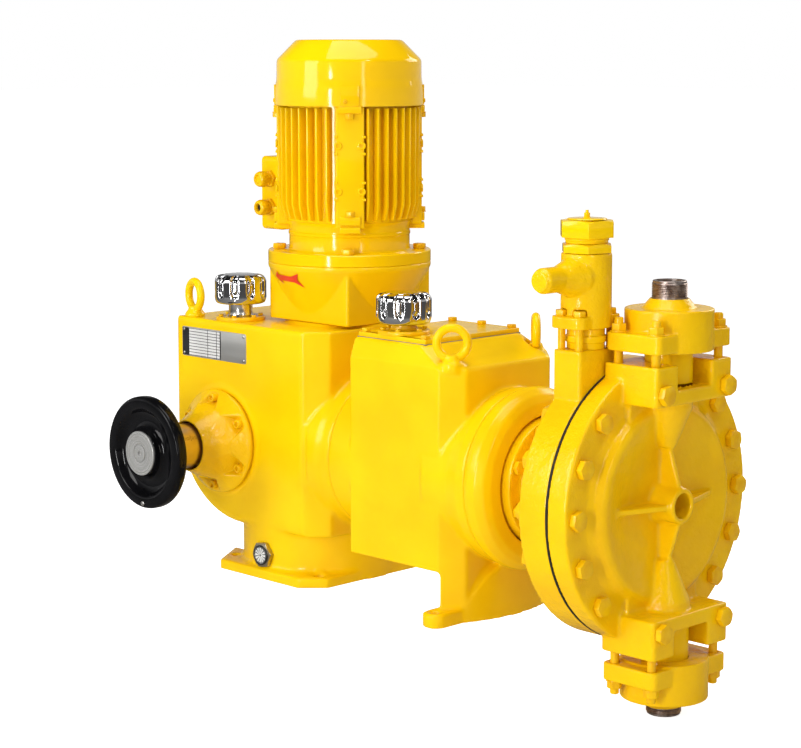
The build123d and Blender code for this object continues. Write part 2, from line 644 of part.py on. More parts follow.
def reservoir_lid():
    plate = lid_plate(HYD_RIM, 7, 0)
    plate -= Pos(CAP2[0], CAP2[1], HYD_RIM - 1) * rod(18, 20)
    return less(plate, [Pos(x, y, HYD_RIM - 1) * rod(M8_R + 0.2, 20) for x, y in lid_screw_places()])


def lid_screws():
    return [Pos(x, y, HYD_RIM + 7) * bolt(M8_AF, M8_HEAD, M8_R, 6.5) for x, y in lid_screw_places()]


# Plunger drive ------------------------------------------------------------------------------------
def conrod():
    """Big end runs round the eccentric with room for the stroke; small end sits in the crosshead."""
    t = 16.0
    body = tube(66, 53, t) + slab(62, 205, -11, 11, 2, t - 2) + Pos(ROD_LENGTH, 0, 0) * rod(20, t)
    body -= Pos(ROD_LENGTH, 0, -1) * rod(11, 30)
    return at_front(CRANK_X, CONROD_Y + t / 2, AXIS_Z) * body


def wrist_pin():
    return at_front(CRANK_X + ROD_LENGTH, PLUNGER_Y + 42, AXIS_Z) * rod(11, 84)


def crosshead():
    body = at_x(CRANK_X + 188, PLUNGER_Y, AXIS_Z) * tube(50, 38, 76)
    floor = at_x(CRANK_X + 252, PLUNGER_Y, AXIS_Z) * rod(50, 16)
    body = body + floor
    body -= at_front(CRANK_X + ROD_LENGTH, PLUNGER_Y + 60, AXIS_Z) * rod(11, 120)
    return body


def crosshead_guide():
    return at_x(78, PLUNGER_Y, AXIS_Z) * tube(60, 50.05, 120)


def plunger():
    return at_x(CRANK_X + 268, PLUNGER_Y, AXIS_Z) * rod(32, 226)


def packing_rings():
    return group([at_x(304 + 9 * i, PLUNGER_Y, AXIS_Z) * tube(41, 32.05, 8) for i in range(5)])


def cylinder_liner():
    liner = turned((41, 0), (52, 0), (52, 60), (75, 60), (75, 74), (52, 74), (52, 150), (32.3, 150),
                   (32.3, 48),
                   (41, 48))
    return at_x(302, PLUNGER_Y, AXIS_Z) * liner


# Liquid end ---------------------------------------------------------------------------------------
def adapter_ring():
    """Bell-shaped ring between the hydraulic housing and the diaphragm chamber."""
    ring = turned((53, 0), (NECK_R, 0), (NECK_R + 4, 10), (NECK_R + 3, 22), (NECK_R - 4, 33),
                  (NECK_R - 14, 39),
                  (94, 41), (92, 36), (92, 24), (53, 24))
    ring = less(ring, ring_of(Pos(0, 0, -1) * rod(M12_R + 0.2, 40), ADAPTER_BOLT_R, even(8, 22.5)))
    return at_x(NECK_X, PLUNGER_Y, AXIS_Z) * ring


def adapter_bolts():
    place = at_x(NECK_X + 53, PLUNGER_Y, AXIS_Z)
    return [place * p for p in ring_of(bolt(M12_AF, M12_HEAD, M12_R, 52), ADAPTER_BOLT_R, even(8, 22.5))]


def displacement_chamber():
    """Neck and back flange that hold the hydraulic side of the diaphragm."""
    start = NECK_X + 24
    span, full = FLANGE_X0 - start, FLANGE_X1 - start
    profile = turned((30, 0), (90, 0), (90, 29), (68, 29), (67, 50), (84, 84), (126, span - 14), (150, span),
                     (FLANGE_R, span), (FLANGE_R, full), (RECESS_R, full), (RECESS_R, full - 14),
                     (96, full - 14), (30, full - 40))
    body = at_x(start, PLUNGER_Y, AXIS_Z) * profile
    body += slab(FLANGE_X0, FLANGE_X1 - 0.4, RELIEF_Y - 39, RELIEF_Y + 39, AXIS_Z + 130, PAD_Z)
    body -= at_x(FLANGE_X1 - 14, PLUNGER_Y, AXIS_Z) * rod(RECESS_R, 20)
    place = at_x(start - 1, PLUNGER_Y, AXIS_Z)
    body = less(body, [place * p for p in ring_of(rod(6.5, 32), ADAPTER_BOLT_R, even(8, 22.5))])
    place = at_x(FLANGE_X0 - 40, PLUNGER_Y, AXIS_Z)
    body = less(body, [place * p for p in ring_of(rod(M16_R + 0.5, 100), BOLT_R, head_angles())])
    body -= Pos(RELIEF_X, RELIEF_Y, AXIS_Z + 100) * rod(8, 150)
    for x, y in relief_stud_places():
        body -= Pos(x, y, PAD_Z - 15) * rod(5.2, 20)
    return body


def support_plate():
    """Perforated contour plate behind the diaphragm."""
    plate = turned((0, 0), (RECESS_R - 0.4, 0), (RECESS_R - 0.4, 9), (96, 8), (50, 5), (0, 4))
    rows = ((24, 6), (48, 12), (72, 18))
    for radius, count in rows:
        plate = less(plate, ring_of(Pos(0, 0, -1) * rod(4.5, 20), radius, even(count)))
    return at_x(FLANGE_X1 - 14, PLUNGER_Y, AXIS_Z) * plate


def diaphragm():
    """Double diaphragm, clamped at its rim and dished on the hydraulic side."""
    t = CLAMPED - 0.1
    sheet = turned((0, 0), (94, 0), (109, 3), (148, 3), (148, 3 + t), (108, 3 + t), (93, t), (0, t))
    return at_x(FLANGE_X1 - 3 + 0.05, PLUNGER_Y, AXIS_Z) * sheet


def head_angles():
    """Bolt circle places, leaving the top and bottom ones to the valve blocks."""
    step = 360.0 / BOLT_COUNT
    return [step * i for i in range(BOLT_COUNT) if i not in (0, 8)]


def short_bolt_angles():
    return [a for a in head_angles() if min(a, 360 - a) > 30 and abs(a - 180) > 30]


def long_bolt_angles():
    return [a for a in head_angles() if a not in short_bolt_angles()]


def valve_block():
    """Upper valve block: square lug with an open arch at the liquid side."""
    block = slab(FLANGE_X1 + 2, VALVE_X + BLOCK_HALF_X, PLUNGER_Y - BLOCK_HALF_Y, PLUNGER_Y + BLOCK_HALF_Y,
                 AXIS_Z + BLOCK_Z0, AXIS_Z + BLOCK_Z1)
    block = fillet(block.edges().filter_by(Axis.Z), 6)
    arch = slab(VALVE_X, VALVE_X + 60, PLUNGER_Y - 36, PLUNGER_Y + 36, AXIS_Z + 160, AXIS_Z + BLOCK_Z1 + 5)
    web = slab(FLANGE_X1 + 2, VALVE_X - 4, PLUNGER_Y - BLOCK_HALF_Y + 6, PLUNGER_Y + BLOCK_HALF_Y - 6,
               AXIS_Z + 100,
               AXIS_Z + BLOCK_Z0 + 4)
    return (block - arch) + web


def valve_passage():
    """One valve block with the swelling that carries the liquid to it."""
    swelling = Pos(VALVE_X, PLUNGER_Y, AXIS_Z + 76) * Cone(11, 33, 54, align=BOTTOM)
    swelling += Pos(VALVE_X, PLUNGER_Y, AXIS_Z + 129) * rod(33, 35)
    end = valve_block() + swelling
    return end & slab(FLANGE_X1 + CLAMPED, 800, -400, 400, AXIS_Z + 60, 900)


def valve_bores():
    """Seat of the valve housing, the way through it and the stud holes round it."""
    seat = Pos(VALVE_X, PLUNGER_Y, AXIS_Z + 150) * rod(32.3, 60)
    passage = Pos(VALVE_X, PLUNGER_Y, AXIS_Z + 90) * rod(14, 90)
    inner = Pos(FLANGE_X1 + 12, PLUNGER_Y, AXIS_Z + 96) * Rot(0, 45, 0) * rod(10, 60)
    holes = [Pos(x, y, AXIS_Z + BLOCK_Z1 - 21) * rod(M12_R + 0.2, 30) for x, y in clamp_stud_places()]
    return [seat, passage, inner] + holes


def pump_head():
    """Liquid-side head: bolted ring, raised face with cross ribs, centre boss and two valve blocks."""
    face = turned((0, 0), (FLANGE_R, 0), (FLANGE_R, 30), (FLANGE_R - 2, FLANGE_X2 - FLANGE_X1 - CLAMPED),
                  (150, FLANGE_X2 - FLANGE_X1 - CLAMPED), (140, 36), (134, 45), (127, 48), (121, 47),
                  (84, 36),
                  (70, 34), (0, 34))
    head = at_x(FLANGE_X1 + CLAMPED, PLUNGER_Y, AXIS_Z) * face
    head += at_x(FLANGE_X1 + 20, PLUNGER_Y, AXIS_Z) * turned((0, 0), (34, 0), (24, 26), (24, 56), (0, 56))
    blade = Plane.XZ * make_face(Polyline((660, 0), (706, 0), (706, 26), (682, 100), (660, 100), close=True))
    blade = Pos(0, 4, 0) * extrude(blade, 8)
    for turn in even(4):
        head += Pos(0, PLUNGER_Y, AXIS_Z) * Rot(turn, 0, 0) * blade
    valve_end = valve_passage()
    head = head.fuse(valve_end, below(valve_end))
    head -= at_x(FLANGE_X1 + CLAMPED - 1, PLUNGER_Y, AXIS_Z) * turned((0, 0), (112, 0), (112, 1), (60, 14),
                                                                      (0, 16))
    head -= at_x(FLANGE_X1 + 10, PLUNGER_Y, AXIS_Z) * rod(17, 90)
    for bore in valve_bores():
        head -= bore
        head -= below(bore)
    place = at_x(FLANGE_X1 - 1, PLUNGER_Y, AXIS_Z)
    head = less(head, [place * p for p in ring_of(rod(M16_R + 0.5, 120), BOLT_R, head_angles())])
    return head.solids().sort_by(SortBy.VOLUME)[-1]


def head_bolts():
    """Through bolts with nuts behind the back flange."""
    pieces = []
    nut_x = FLANGE_X0 - 14
    for angles, face_x in ((short_bolt_angles(), FLANGE_X2), (long_bolt_angles(), VALVE_X + BLOCK_HALF_X)):
        shank = face_x - nut_x + 6
        piece = bolt(M16_AF, M16_HEAD, M16_R, shank) + Pos(0, 0, -shank + 6) * hexagon(M16_AF, 14)
        pieces += [at_x(face_x, PLUNGER_Y, AXIS_Z) * p for p in ring_of(piece, BOLT_R, angles)]
    return group(pieces)


# Valves -------------------------------------------------------------------------------------------


def valve_clamp():
    """Clamp that presses the valve and its pipe connection onto the block."""
    body = Pos(VALVE_X, PLUNGER_Y, CLAMP_Z0) * rod(CLAMP_R, CLAMP_Z1 - CLAMP_Z0)
    plate = slab(VALVE_X - BLOCK_HALF_X, VALVE_X + BLOCK_HALF_X, PLUNGER_Y - 78, PLUNGER_Y + 78, CLAMP_Z0 + 2,
                 CLAMP_Z0 + 26)
    body += fillet(plate.edges().filter_by(Axis.Z), 9)
    body += Pos(VALVE_X, PLUNGER_Y, CLAMP_Z1) * Cone(36.5, 25.5, 13, align=BOTTOM)
    for x, y in clamp_stud_places():
        body -= Pos(x, y, CLAMP_Z0 - 5) * rod(M12_R + 0.4, 80)
        body -= Pos(x, y, CLAMP_Z0 + 26) * rod(12.5, 80)
    body -= Pos(VALVE_X, PLUNGER_Y, CLAMP_Z0 - 1) * rod(32.2, 26)
    body -= Pos(VALVE_X, PLUNGER_Y, CLAMP_Z0) * rod(PORT_R + 0.1, 90)
    return body


def valve_housing():
    """Column that carries seat and ball between block and clamp."""
    return Pos(VALVE_X, PLUNGER_Y, VALVE_LOW) * tube(32, 23, CLAMP_Z0 + 20 - VALVE_LOW)


def nipple(exposed):
    """Pipe connection clamped on the valve housing; its free end carries the pipe thread."""
    low = CLAMP_Z0 + 20.3
    free = CLAMP_Z1 + 14.0 - low
    top = free + exposed
    neck = PORT_R - 0.4
    profile = turned((18, 0), (32, 0), (32, 4.5), (neck, 4.5), (neck, free), (PORT_R, free), (PORT_R, top),
                     (18, top))
    return Pos(VALVE_X, PLUNGER_Y, low) * profile


def clamp_stud_places():
    return [(VALVE_X + x, PLUNGER_Y + y) for x in (-STUD_X, STUD_X) for y in (-STUD_Y, STUD_Y)]


def valve_studs():
    """Four studs with nuts and washers over the upper clamp."""
    pieces = []
    foot = AXIS_Z + BLOCK_Z1 - 20
    top = CLAMP_Z0 + 26
    stud = Pos(0, 0, foot) * rod(M12_R, top - foot + 19)
    nut = Pos(0, 0, top) * rod(11.5, 2) + Pos(0, 0, top + 2) * hexagon(M12_AF, 10.5)
    for x, y in clamp_stud_places():
        pieces.append(Pos(x, y, 0) * (stud + nut))
    return pieces


def seat(z):
    return Pos(VALVE_X, PLUNGER_Y, z) * turned((11, 0), (22.9, 0), (22.9, 12), (15, 12), (11, 7))


def ball(z):
    return Pos(VALVE_X, PLUNGER_Y, z) * Sphere(14.5)


def cage(z):
    """Ball guide: a ring on four posts."""
    ring = Pos(0, 0, 40) * tube(22.9, 15.5, 5)
    posts = ring_of(Pos(0, 0, 12) * rod(2.6, 29), 19.5, even(4, 45))
    stop = Pos(0, 0, 40) * (Box(40, 4, 4, align=BOTTOM) + Box(4, 40, 4, align=BOTTOM))
    return Pos(VALVE_X, PLUNGER_Y, z) * joined([ring, stop] + posts)


# Relief valve -------------------------------------------------------------------------------------


def relief_at(z):
    return Pos(RELIEF_X, RELIEF_Y, z)


def relief_base():
    """Ringed neck piece that holds the seat."""
    ring = turned((7, 0), (25, 0), (25, 8), (27, 9), (27, 17), (25, 18), (25, 27.5), (16, 27.5), (16, 14),
                  (7, 10))
    return relief_at(PAD_Z) * ring


def relief_body():
    base = PAD_Z + 28.0
    plate = fillet((Pos(0, 0, 8) * Box(54, 88, 16)).edges().filter_by(Axis.Z), 12)
    body = plate + rod(33.4, 97)
    stub = turned((0, 0), (29, 0), (29, 24), (26, 32), (17, 58), (17, 87), (13, 94), (0, 94))
    body += at_front(0, 0, 66) * stub
    body -= Pos(0, 0, -1) * rod(22, 110)
    body -= at_front(0, 0, 66) * rod(8, 60)
    body = relief_at(base) * body
    for x, y in relief_stud_places():
        body -= Pos(x, y, base + 16) * rod(9.6, 9)
        body -= Pos(x, y, base - 1) * rod(5.2, 18)
    return body


def relief_stud_places():
    return [(RELIEF_X + x, RELIEF_Y + y) for x in (-RELIEF_STUD_X, RELIEF_STUD_X)
            for y in (-RELIEF_STUD_Y, RELIEF_STUD_Y)]


def relief_studs():
    stud = Pos(0, 0, -14) * rod(5, 60) + Pos(0, 0, 44) * hexagon(15, 8)
    return [Pos(x, y, PAD_Z) * stud for x, y in relief_stud_places()]


def relief_cap():
    """Adjusting cap: screwed collar, neck and hexagon hood with its vent stud."""
    base = PAD_Z + 28 + 97
    collar = hexagon(60, 14) & turned((0, 0), (32.5, 0), (34.5, 3), (34.5, 11), (31.5, 14), (0, 14))
    neck = Pos(0, 0, 14) * rod(28, 8)
    hood = Pos(0, 0, 21) * (hexagon(64, 24) & turned((0, 0), (34, 0), (37, 4), (37, 20), (33, 24), (0, 24)))
    stud = Pos(0, 0, 45) * (rod(5, 2) + hexagon(7, 9))
    plug = Pos(0, 0, -14) * tube(21.9, 9, 14.1)
    return relief_at(base) * (collar + neck + hood + stud + plug)


def relief_poppet():
    return relief_at(PAD_Z + 10.6) * turned((0, 0), (5, 0), (11, 6), (15.5, 10), (15.5, 22), (8, 22),
                                            (8, 40), (0, 40))


def relief_spring():
    """Helical spring between the poppet's shoulder and the adjusting cap."""
    low, high, wire_r, coil_r = PAD_Z + 32.7, PAD_Z + 110.9, 1.8, 13.0
    height = high - low - 2 * wire_r
    wire = sweep(Plane.XZ * Pos(coil_r, 0) * Circle(wire_r), path=Helix(12, height, coil_r), is_frenet=True)
    return relief_at(low + wire_r) * wire


def both(shape):
    """Upper piece and its copy below the plunger axis."""
    return [shape, below(shape)]


def main():
    os.makedirs("parts", exist_ok=True)
    low_hub, high_hub = shaft_coupling()
    studs = valve_studs()
    seat_z = VALVE_LOW + 2
    parts = {
        "gearbox_housing": gearbox_housing(),
        "crank_cover": crank_cover(),
        "crank_cover_screws": cover_screws(),
        "bearing_cover": bearing_cover(),
        "m8_hex_bolts": group(bearing_cover_screws() + lid_screws()),
        "worm_shaft": worm_shaft(),
        "rolling_bearings": group(worm_bearings() + crank_bearings() + motor_bearings()),
        "worm_bearing_carrier": worm_bearing_carrier(),
        "worm_wheel": worm_wheel(),
        "crankshaft": crankshaft(),
        "eccentric": eccentric(),
        "adjusting_spindle": adjusting_spindle(),
        "scale_sleeve": scale_sleeve(),
        "handwheel": handwheel(),
        "handwheel_hub_disc": hub_disc(),
        "lantern": lantern(),
        "coupling_hubs": group([low_hub, high_hub]),
        "coupling_star": coupling_star(),
        "motor_housing": motor_housing(),
        "motor_end_shield": end_shield(),
        "m12_hex_bolts": group(flange_bolts() + adapter_bolts()),
        "motor_fan_cover": fan_cover(),
        "cooling_fan": cooling_fan(),
        "rotor_shaft": rotor_shaft(),
        "stator": stator(),
        "terminal_box": terminal_box(),
        "terminal_box_lid": terminal_box_lid(),
        "cable_glands": cable_glands(),
        "breather_necks": group([Pos(*CAP1) * breather_neck(), Pos(*CAP2) * breather_neck()]),
        "gearbox_filler_cap": Pos(*CAP1) * breather_cap(),
        "reservoir_filler_cap": Pos(*CAP2) * breather_cap(),
        "lifting_eyebolts": eyebolts(),
        "oil_sight_glass": sight_glass(),
        "hydraulic_housing": hydraulic_housing(),
        "reservoir_lid": reservoir_lid(),
        "conrod": conrod(),
        "wrist_pin": wrist_pin(),
        "crosshead": crosshead(),
        "crosshead_guide": crosshead_guide(),
        "plunger": plunger(),
        "packing_rings": packing_rings(),
        "cylinder_liner": cylinder_liner(),
        "adapter_ring": adapter_ring(),
        "displacement_chamber": displacement_chamber(),
        "support_plate": support_plate(),
        "diaphragm": diaphragm(),
        "pump_head": pump_head(),
        "head_bolts": head_bolts(),
        "valve_clamps": group(both(valve_clamp())),
        "valve_housings": group(both(valve_housing())),
        "pipe_nipples": group([nipple(DISCHARGE_STUB), below(nipple(SUCTION_STUB))]),
        "clamp_studs": group(studs + [below(s) for s in studs] + relief_studs()),
        "valve_inserts": group([cage(seat_z), seat(seat_z), cage(LOW_SEAT_Z), seat(LOW_SEAT_Z)]),
        "discharge_ball": ball(seat_z + BALL_RISE),
        "suction_ball": ball(LOW_SEAT_Z + BALL_RISE),
        "relief_base": relief_base(),
        "relief_body": relief_body(),
        "relief_cap": relief_cap(),
        "relief_poppet": relief_poppet(),
        "relief_spring": relief_spring(),
    }
    for name, shape in parts.items():
        write(name, shape)


if __name__ == "__main__":
    main()
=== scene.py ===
import math
import bmesh
import bpy
from mathutils import Matrix, Vector


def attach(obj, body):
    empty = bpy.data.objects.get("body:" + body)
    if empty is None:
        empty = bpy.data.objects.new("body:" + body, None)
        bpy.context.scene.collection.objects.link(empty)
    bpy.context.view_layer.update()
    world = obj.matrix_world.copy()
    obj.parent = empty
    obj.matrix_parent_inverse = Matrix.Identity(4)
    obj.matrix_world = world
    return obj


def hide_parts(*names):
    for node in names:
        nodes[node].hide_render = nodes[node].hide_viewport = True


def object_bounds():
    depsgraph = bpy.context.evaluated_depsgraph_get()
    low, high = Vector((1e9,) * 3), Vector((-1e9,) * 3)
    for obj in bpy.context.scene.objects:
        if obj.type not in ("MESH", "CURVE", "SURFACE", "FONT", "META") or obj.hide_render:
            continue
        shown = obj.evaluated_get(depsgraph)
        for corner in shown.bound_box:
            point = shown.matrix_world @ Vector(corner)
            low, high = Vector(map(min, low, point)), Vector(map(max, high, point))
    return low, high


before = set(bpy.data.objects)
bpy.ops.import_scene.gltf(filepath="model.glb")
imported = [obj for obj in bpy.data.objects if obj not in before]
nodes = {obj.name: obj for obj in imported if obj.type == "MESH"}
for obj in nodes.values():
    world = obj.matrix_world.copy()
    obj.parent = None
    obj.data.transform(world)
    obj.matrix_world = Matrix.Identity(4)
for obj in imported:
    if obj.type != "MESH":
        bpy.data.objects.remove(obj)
cadLow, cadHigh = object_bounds()
print("frame loaded:", len(nodes), "nodes")

# places of the main axes, in millimetres
axisHeight = 201
motorAxis = (30, 30)
crankX = -94
plungerY = -10
valveX = 683
reliefAxis = (612, -95)
boltCircle = 170          # pump head bolts
blockFace, headFace, backFace = 728, 670, 590


# Empty material with its node tree and shader.
def newMaterial(name):
    material = bpy.data.materials.new(name)
    material.use_nodes = True
    tree = material.node_tree
    return material, tree, tree.nodes["Principled BSDF"]


def link(tree, fromNode, output, toNode, socket):
    tree.links.new(fromNode.outputs[output], toNode.inputs[socket])


def objectCoordinates(tree, stretch=(1, 1, 1)):
    coordinates = tree.nodes.new("ShaderNodeTexCoord")
    mapping = tree.nodes.new("ShaderNodeMapping")
    mapping.inputs["Scale"].default_value = stretch
    link(tree, coordinates, "Object", mapping, "Vector")
    return mapping


def noiseAt(tree, mapping, scale, detail=2.0, roughness=0.5):
    noise = tree.nodes.new("ShaderNodeTexNoise")
    noise.inputs["Scale"].default_value = scale
    noise.inputs["Detail"].default_value = detail
    noise.inputs["Roughness"].default_value = roughness
    link(tree, mapping, "Vector", noise, "Vector")
    return noise


def mixColours(tree, source, low, high, start=0.35, stop=0.65):
    ramp = tree.nodes.new("ShaderNodeValToRGB")
    ramp.color_ramp.elements[0].color = (*low, 1)
    ramp.color_ramp.elements[1].color = (*high, 1)
    ramp.color_ramp.elements[0].position = start
    ramp.color_ramp.elements[1].position = stop
    link(tree, source, "Fac", ramp, "Fac")
    return ramp


def spread(tree, source, low, high):
    span = tree.nodes.new("ShaderNodeMapRange")
    span.inputs["To Min"].default_value = low
    span.inputs["To Max"].default_value = high
    link(tree, source, "Fac", span, "Value")
    return span


def bumpFrom(tree, source, output, strength, depth, after=None):
    bump = tree.nodes.new("ShaderNodeBump")
    bump.inputs["Strength"].default_value = strength
    bump.inputs["Distance"].default_value = depth
    link(tree, source, output, bump, "Height")
    if after is not None:
        link(tree, after, "Normal", bump, "Normal")
    return bump


# A surface with slow colour drift, uneven gloss and two grains of relief.
def plainFinish(name, spec):
    material, tree, shader = newMaterial(name)
    mapping = objectCoordinates(tree, spec.get("stretch", (1, 1, 1)))
    drift = noiseAt(tree, mapping, spec["driftScale"], 4.0)
    link(tree, mixColours(tree, drift, spec["dark"], spec["light"]), "Color", shader, "Base Color")
    gloss = noiseAt(tree, mapping, spec.get("glossScale", 30), 3.0)
    link(tree, spread(tree, gloss, *spec["rough"]), "Result", shader, "Roughness")
    coarse = noiseAt(tree, mapping, spec["coarse"][0], 3.0)
    first = bumpFrom(tree, coarse, "Fac", spec["coarse"][1], spec["coarse"][2])
    fine = noiseAt(tree, mapping, spec["fine"][0], 2.0)
    second = bumpFrom(tree, fine, "Fac", spec["fine"][1], spec["fine"][2], first)
    link(tree, second, "Normal", shader, "Normal")
    shader.inputs["Metallic"].default_value = spec.get("metallic", 0.0)
    shader.inputs["Specular IOR Level"].default_value = spec.get("specular", 0.5)
    shader.inputs["Coat Weight"].default_value = spec.get("coat", 0.0)
    shader.inputs["Coat Roughness"].default_value = spec.get("coatRough", 0.08)
    return material


yellowDark, yellowLight = (0.90, 0.545, 0.0015), (0.97, 0.625, 0.002)

finishes = {
    "rubber": {"dark": (0.006, 0.006, 0.006), "light": (0.014, 0.013, 0.012), "driftScale": 40,
        "rough": (0.45, 0.6), "coarse": (90, 0.1, 0.0004), "fine": (900, 0.15, 0.0002)},
    "castEnamel": {"dark": yellowDark, "light": yellowLight, "driftScale": 9, "rough": (0.16, 0.26),
        "specular": 0.2, "coat": 0.05, "coarse": (45, 0.22, 0.0016), "fine": (330, 0.14, 0.0004)},
    # rough enamel: darker and more orange than the cast enamel, partly painted shade for the shaded faces of
    # the liquid end
    "roughEnamelPaintedShade": {"dark": (0.88, 0.505, 0.002), "light": (0.95, 0.585, 0.002), "driftScale": 12,
        "rough": (0.12, 0.22), "specular": 0.26, "coat": 0.08, "coarse": (80, 0.55, 0.0024),
        "fine": (330, 0.5, 0.0008)},
    "smoothEnamel": {"dark": yellowDark, "light": yellowLight, "driftScale": 6, "rough": (0.06, 0.11),
        "specular": 0.24, "coat": 0.05, "coarse": (30, 0.12, 0.0012), "fine": (600, 0.05, 0.0002)},
    "boltEnamel": {"dark": (0.84, 0.45, 0.002), "light": (0.95, 0.585, 0.002), "driftScale": 60,
        "rough": (0.16, 0.3), "specular": 0.3, "coat": 0.1, "coarse": (160, 0.3, 0.0008),
        "fine": (700, 0.2, 0.0003)},
    "blackGloss": {"dark": (0.0025, 0.0025, 0.003), "light": (0.006, 0.006, 0.007), "driftScale": 20,
        "rough": (0.08, 0.13), "specular": 0.16, "coat": 0.06, "coatRough": 0.04,
        "coarse": (40, 0.06, 0.0006), "fine": (900, 0.03, 0.0001)},
    "blackSatin": {"dark": (0.008, 0.008, 0.009), "light": (0.02, 0.02, 0.021), "driftScale": 50,
        "rough": (0.38, 0.5), "coarse": (90, 0.1, 0.0004), "fine": (900, 0.12, 0.0002)},
    "chrome": {"dark": (0.60, 0.60, 0.61), "light": (0.70, 0.70, 0.71), "driftScale": 30,
        "rough": (0.05, 0.09), "metallic": 1.0, "coarse": (60, 0.05, 0.0005),
        "fine": (500, 0.02, 0.0001)},
    "polishedSteel": {"dark": (0.60, 0.57, 0.53), "light": (0.74, 0.71, 0.66), "driftScale": 40,
        "metallic": 1.0, "rough": (0.14, 0.24), "coarse": (80, 0.05, 0.0003),
        "fine": (1200, 0.08, 0.0001)},
    "turnedSteel": {"dark": (0.44, 0.43, 0.42), "light": (0.60, 0.59, 0.57), "driftScale": 60,
        "metallic": 1.0, "rough": (0.26, 0.42), "coarse": (140, 0.1, 0.0003),
        "fine": (1400, 0.15, 0.0001)},
    "threadSteel": {"dark": (0.30, 0.22, 0.19), "light": (0.62, 0.54, 0.50), "driftScale": 120,
        "metallic": 1.0, "rough": (0.25, 0.45), "coarse": (150, 0.2, 0.0004),
        "fine": (900, 0.2, 0.0002)},
    "bareCasting": {"dark": (0.10, 0.095, 0.09), "light": (0.18, 0.17, 0.16), "driftScale": 35,
        "metallic": 0.6, "rough": (0.5, 0.7), "coarse": (200, 0.4, 0.0008), "fine": (900, 0.4, 0.0004)},
    "bronze": {"dark": (0.50, 0.28, 0.09), "light": (0.62, 0.38, 0.14), "driftScale": 30,
        "metallic": 1.0, "rough": (0.25, 0.4), "coarse": (90, 0.1, 0.0004), "fine": (900, 0.1, 0.0002)},
    "elastomer": {"dark": (0.26, 0.02, 0.015), "light": (0.36, 0.03, 0.02), "driftScale": 40,
        "rough": (0.5, 0.65), "coarse": (120, 0.1, 0.0004), "fine": (900, 0.15, 0.0002)},
    "fluoroplastic": {"dark": (0.78, 0.78, 0.75), "light": (0.86, 0.86, 0.84), "driftScale": 25,
        "rough": (0.35, 0.45), "coarse": (80, 0.08, 0.0004), "fine": (700, 0.08, 0.0002)},
    "laminations": {"dark": (0.12, 0.11, 0.11), "light": (0.3, 0.29, 0.28), "driftScale": 50,
        "metallic": 0.8, "rough": (0.4, 0.55), "coarse": (60, 0.1, 0.0004), "fine": (1400, 0.4, 0.0003),
        "stretch": (0.2, 0.2, 6)},
    "gasket": {"dark": (0.16, 0.15, 0.13), "light": (0.27, 0.25, 0.22), "driftScale": 60,
        "rough": (0.6, 0.75), "coarse": (200, 0.3, 0.0004), "fine": (1200, 0.3, 0.0002)},
    "plainBrass": {"dark": (0.40, 0.33, 0.22), "light": (0.62, 0.54, 0.38), "driftScale": 70,
        "metallic": 1.0, "rough": (0.22, 0.36), "coarse": (140, 0.15, 0.0003),
        "fine": (1200, 0.12, 0.0001)},
    # warm tint: painted reflection of the yellow housing in the polished sleeve
    "steelWithPaintedReflection": {"dark": (0.50, 0.34, 0.18), "light": (0.66, 0.50, 0.32), "driftScale": 16,
        "metallic": 1.0, "rough": (0.24, 0.34), "coarse": (80, 0.04, 0.0003),
        "fine": (1200, 0.08, 0.0001)},
    "plateGrey": {"dark": (0.50, 0.50, 0.48), "light": (0.60, 0.60, 0.58), "driftScale": 18,
        "metallic": 0.75, "rough": (0.28, 0.38), "coarse": (40, 0.04, 0.0002),
        "fine": (1500, 0.12, 0.0001), "stretch": (0.15, 1, 4)},
    "plateWhite": {"dark": (0.66, 0.66, 0.65), "light": (0.76, 0.76, 0.75), "driftScale": 18,
        "rough": (0.3, 0.4), "coarse": (40, 0.04, 0.0002), "fine": (1500, 0.06, 0.0001)},
    "platePrint": {"dark": (0.012, 0.012, 0.013), "light": (0.02, 0.02, 0.022), "driftScale": 30,
        "rough": (0.3, 0.4), "coarse": (60, 0.05, 0.0002), "fine": (900, 0.06, 0.0001)},
    "arrowRed": {"dark": (0.72, 0.035, 0.015), "light": (0.82, 0.05, 0.02), "driftScale": 30,
        "rough": (0.25, 0.35), "coarse": (60, 0.05, 0.0002), "fine": (900, 0.06, 0.0001)},
    # near-black: painted shade for the dark gap between the diaphragm flanges
    "paintedGapShade": {"dark": (0.006, 0.005, 0.003), "light": (0.02, 0.014, 0.006), "driftScale": 60,
        "rough": (0.6, 0.8), "coarse": (90, 0.1, 0.0004), "fine": (900, 0.2, 0.0002)},
}
materials = {name: plainFinish(name, spec) for name, spec in finishes.items()}


# Turned face: fine rings about an axis along Y.
def brushedDisc(name, centre):
    material, tree, shader = newMaterial(name)
    coordinates = tree.nodes.new("ShaderNodeTexCoord")
    mapping = tree.nodes.new("ShaderNodeMapping")
    mapping.inputs["Location"].default_value = (-centre[0], 0, -centre[1])
    mapping.inputs["Scale"].default_value = (1, 0, 1)
    link(tree, coordinates, "Object", mapping, "Vector")
    length = tree.nodes.new("ShaderNodeVectorMath")
    length.operation = "LENGTH"
    link(tree, mapping, "Vector", length, "Vector")
    rings = tree.nodes.new("ShaderNodeTexNoise")
    rings.noise_dimensions = "1D"
    rings.inputs["Scale"].default_value = 2600
    rings.inputs["Detail"].default_value = 3
    link(tree, length, "Value", rings, "W")
    link(tree, mixColours(tree, rings, (0.36, 0.36, 0.35), (0.66, 0.66, 0.64)), "Color", shader, "Base Color")
    link(tree, spread(tree, rings, 0.20, 0.32), "Result", shader, "Roughness")
    link(tree, bumpFrom(tree, rings, "Fac", 0.25, 0.00008), "Normal", shader, "Normal")
    shader.inputs["Metallic"].default_value = 0.55
    return material


materials["brushedDisc"] = brushedDisc("brushedDisc", (crankX / 1000, axisHeight / 1000))


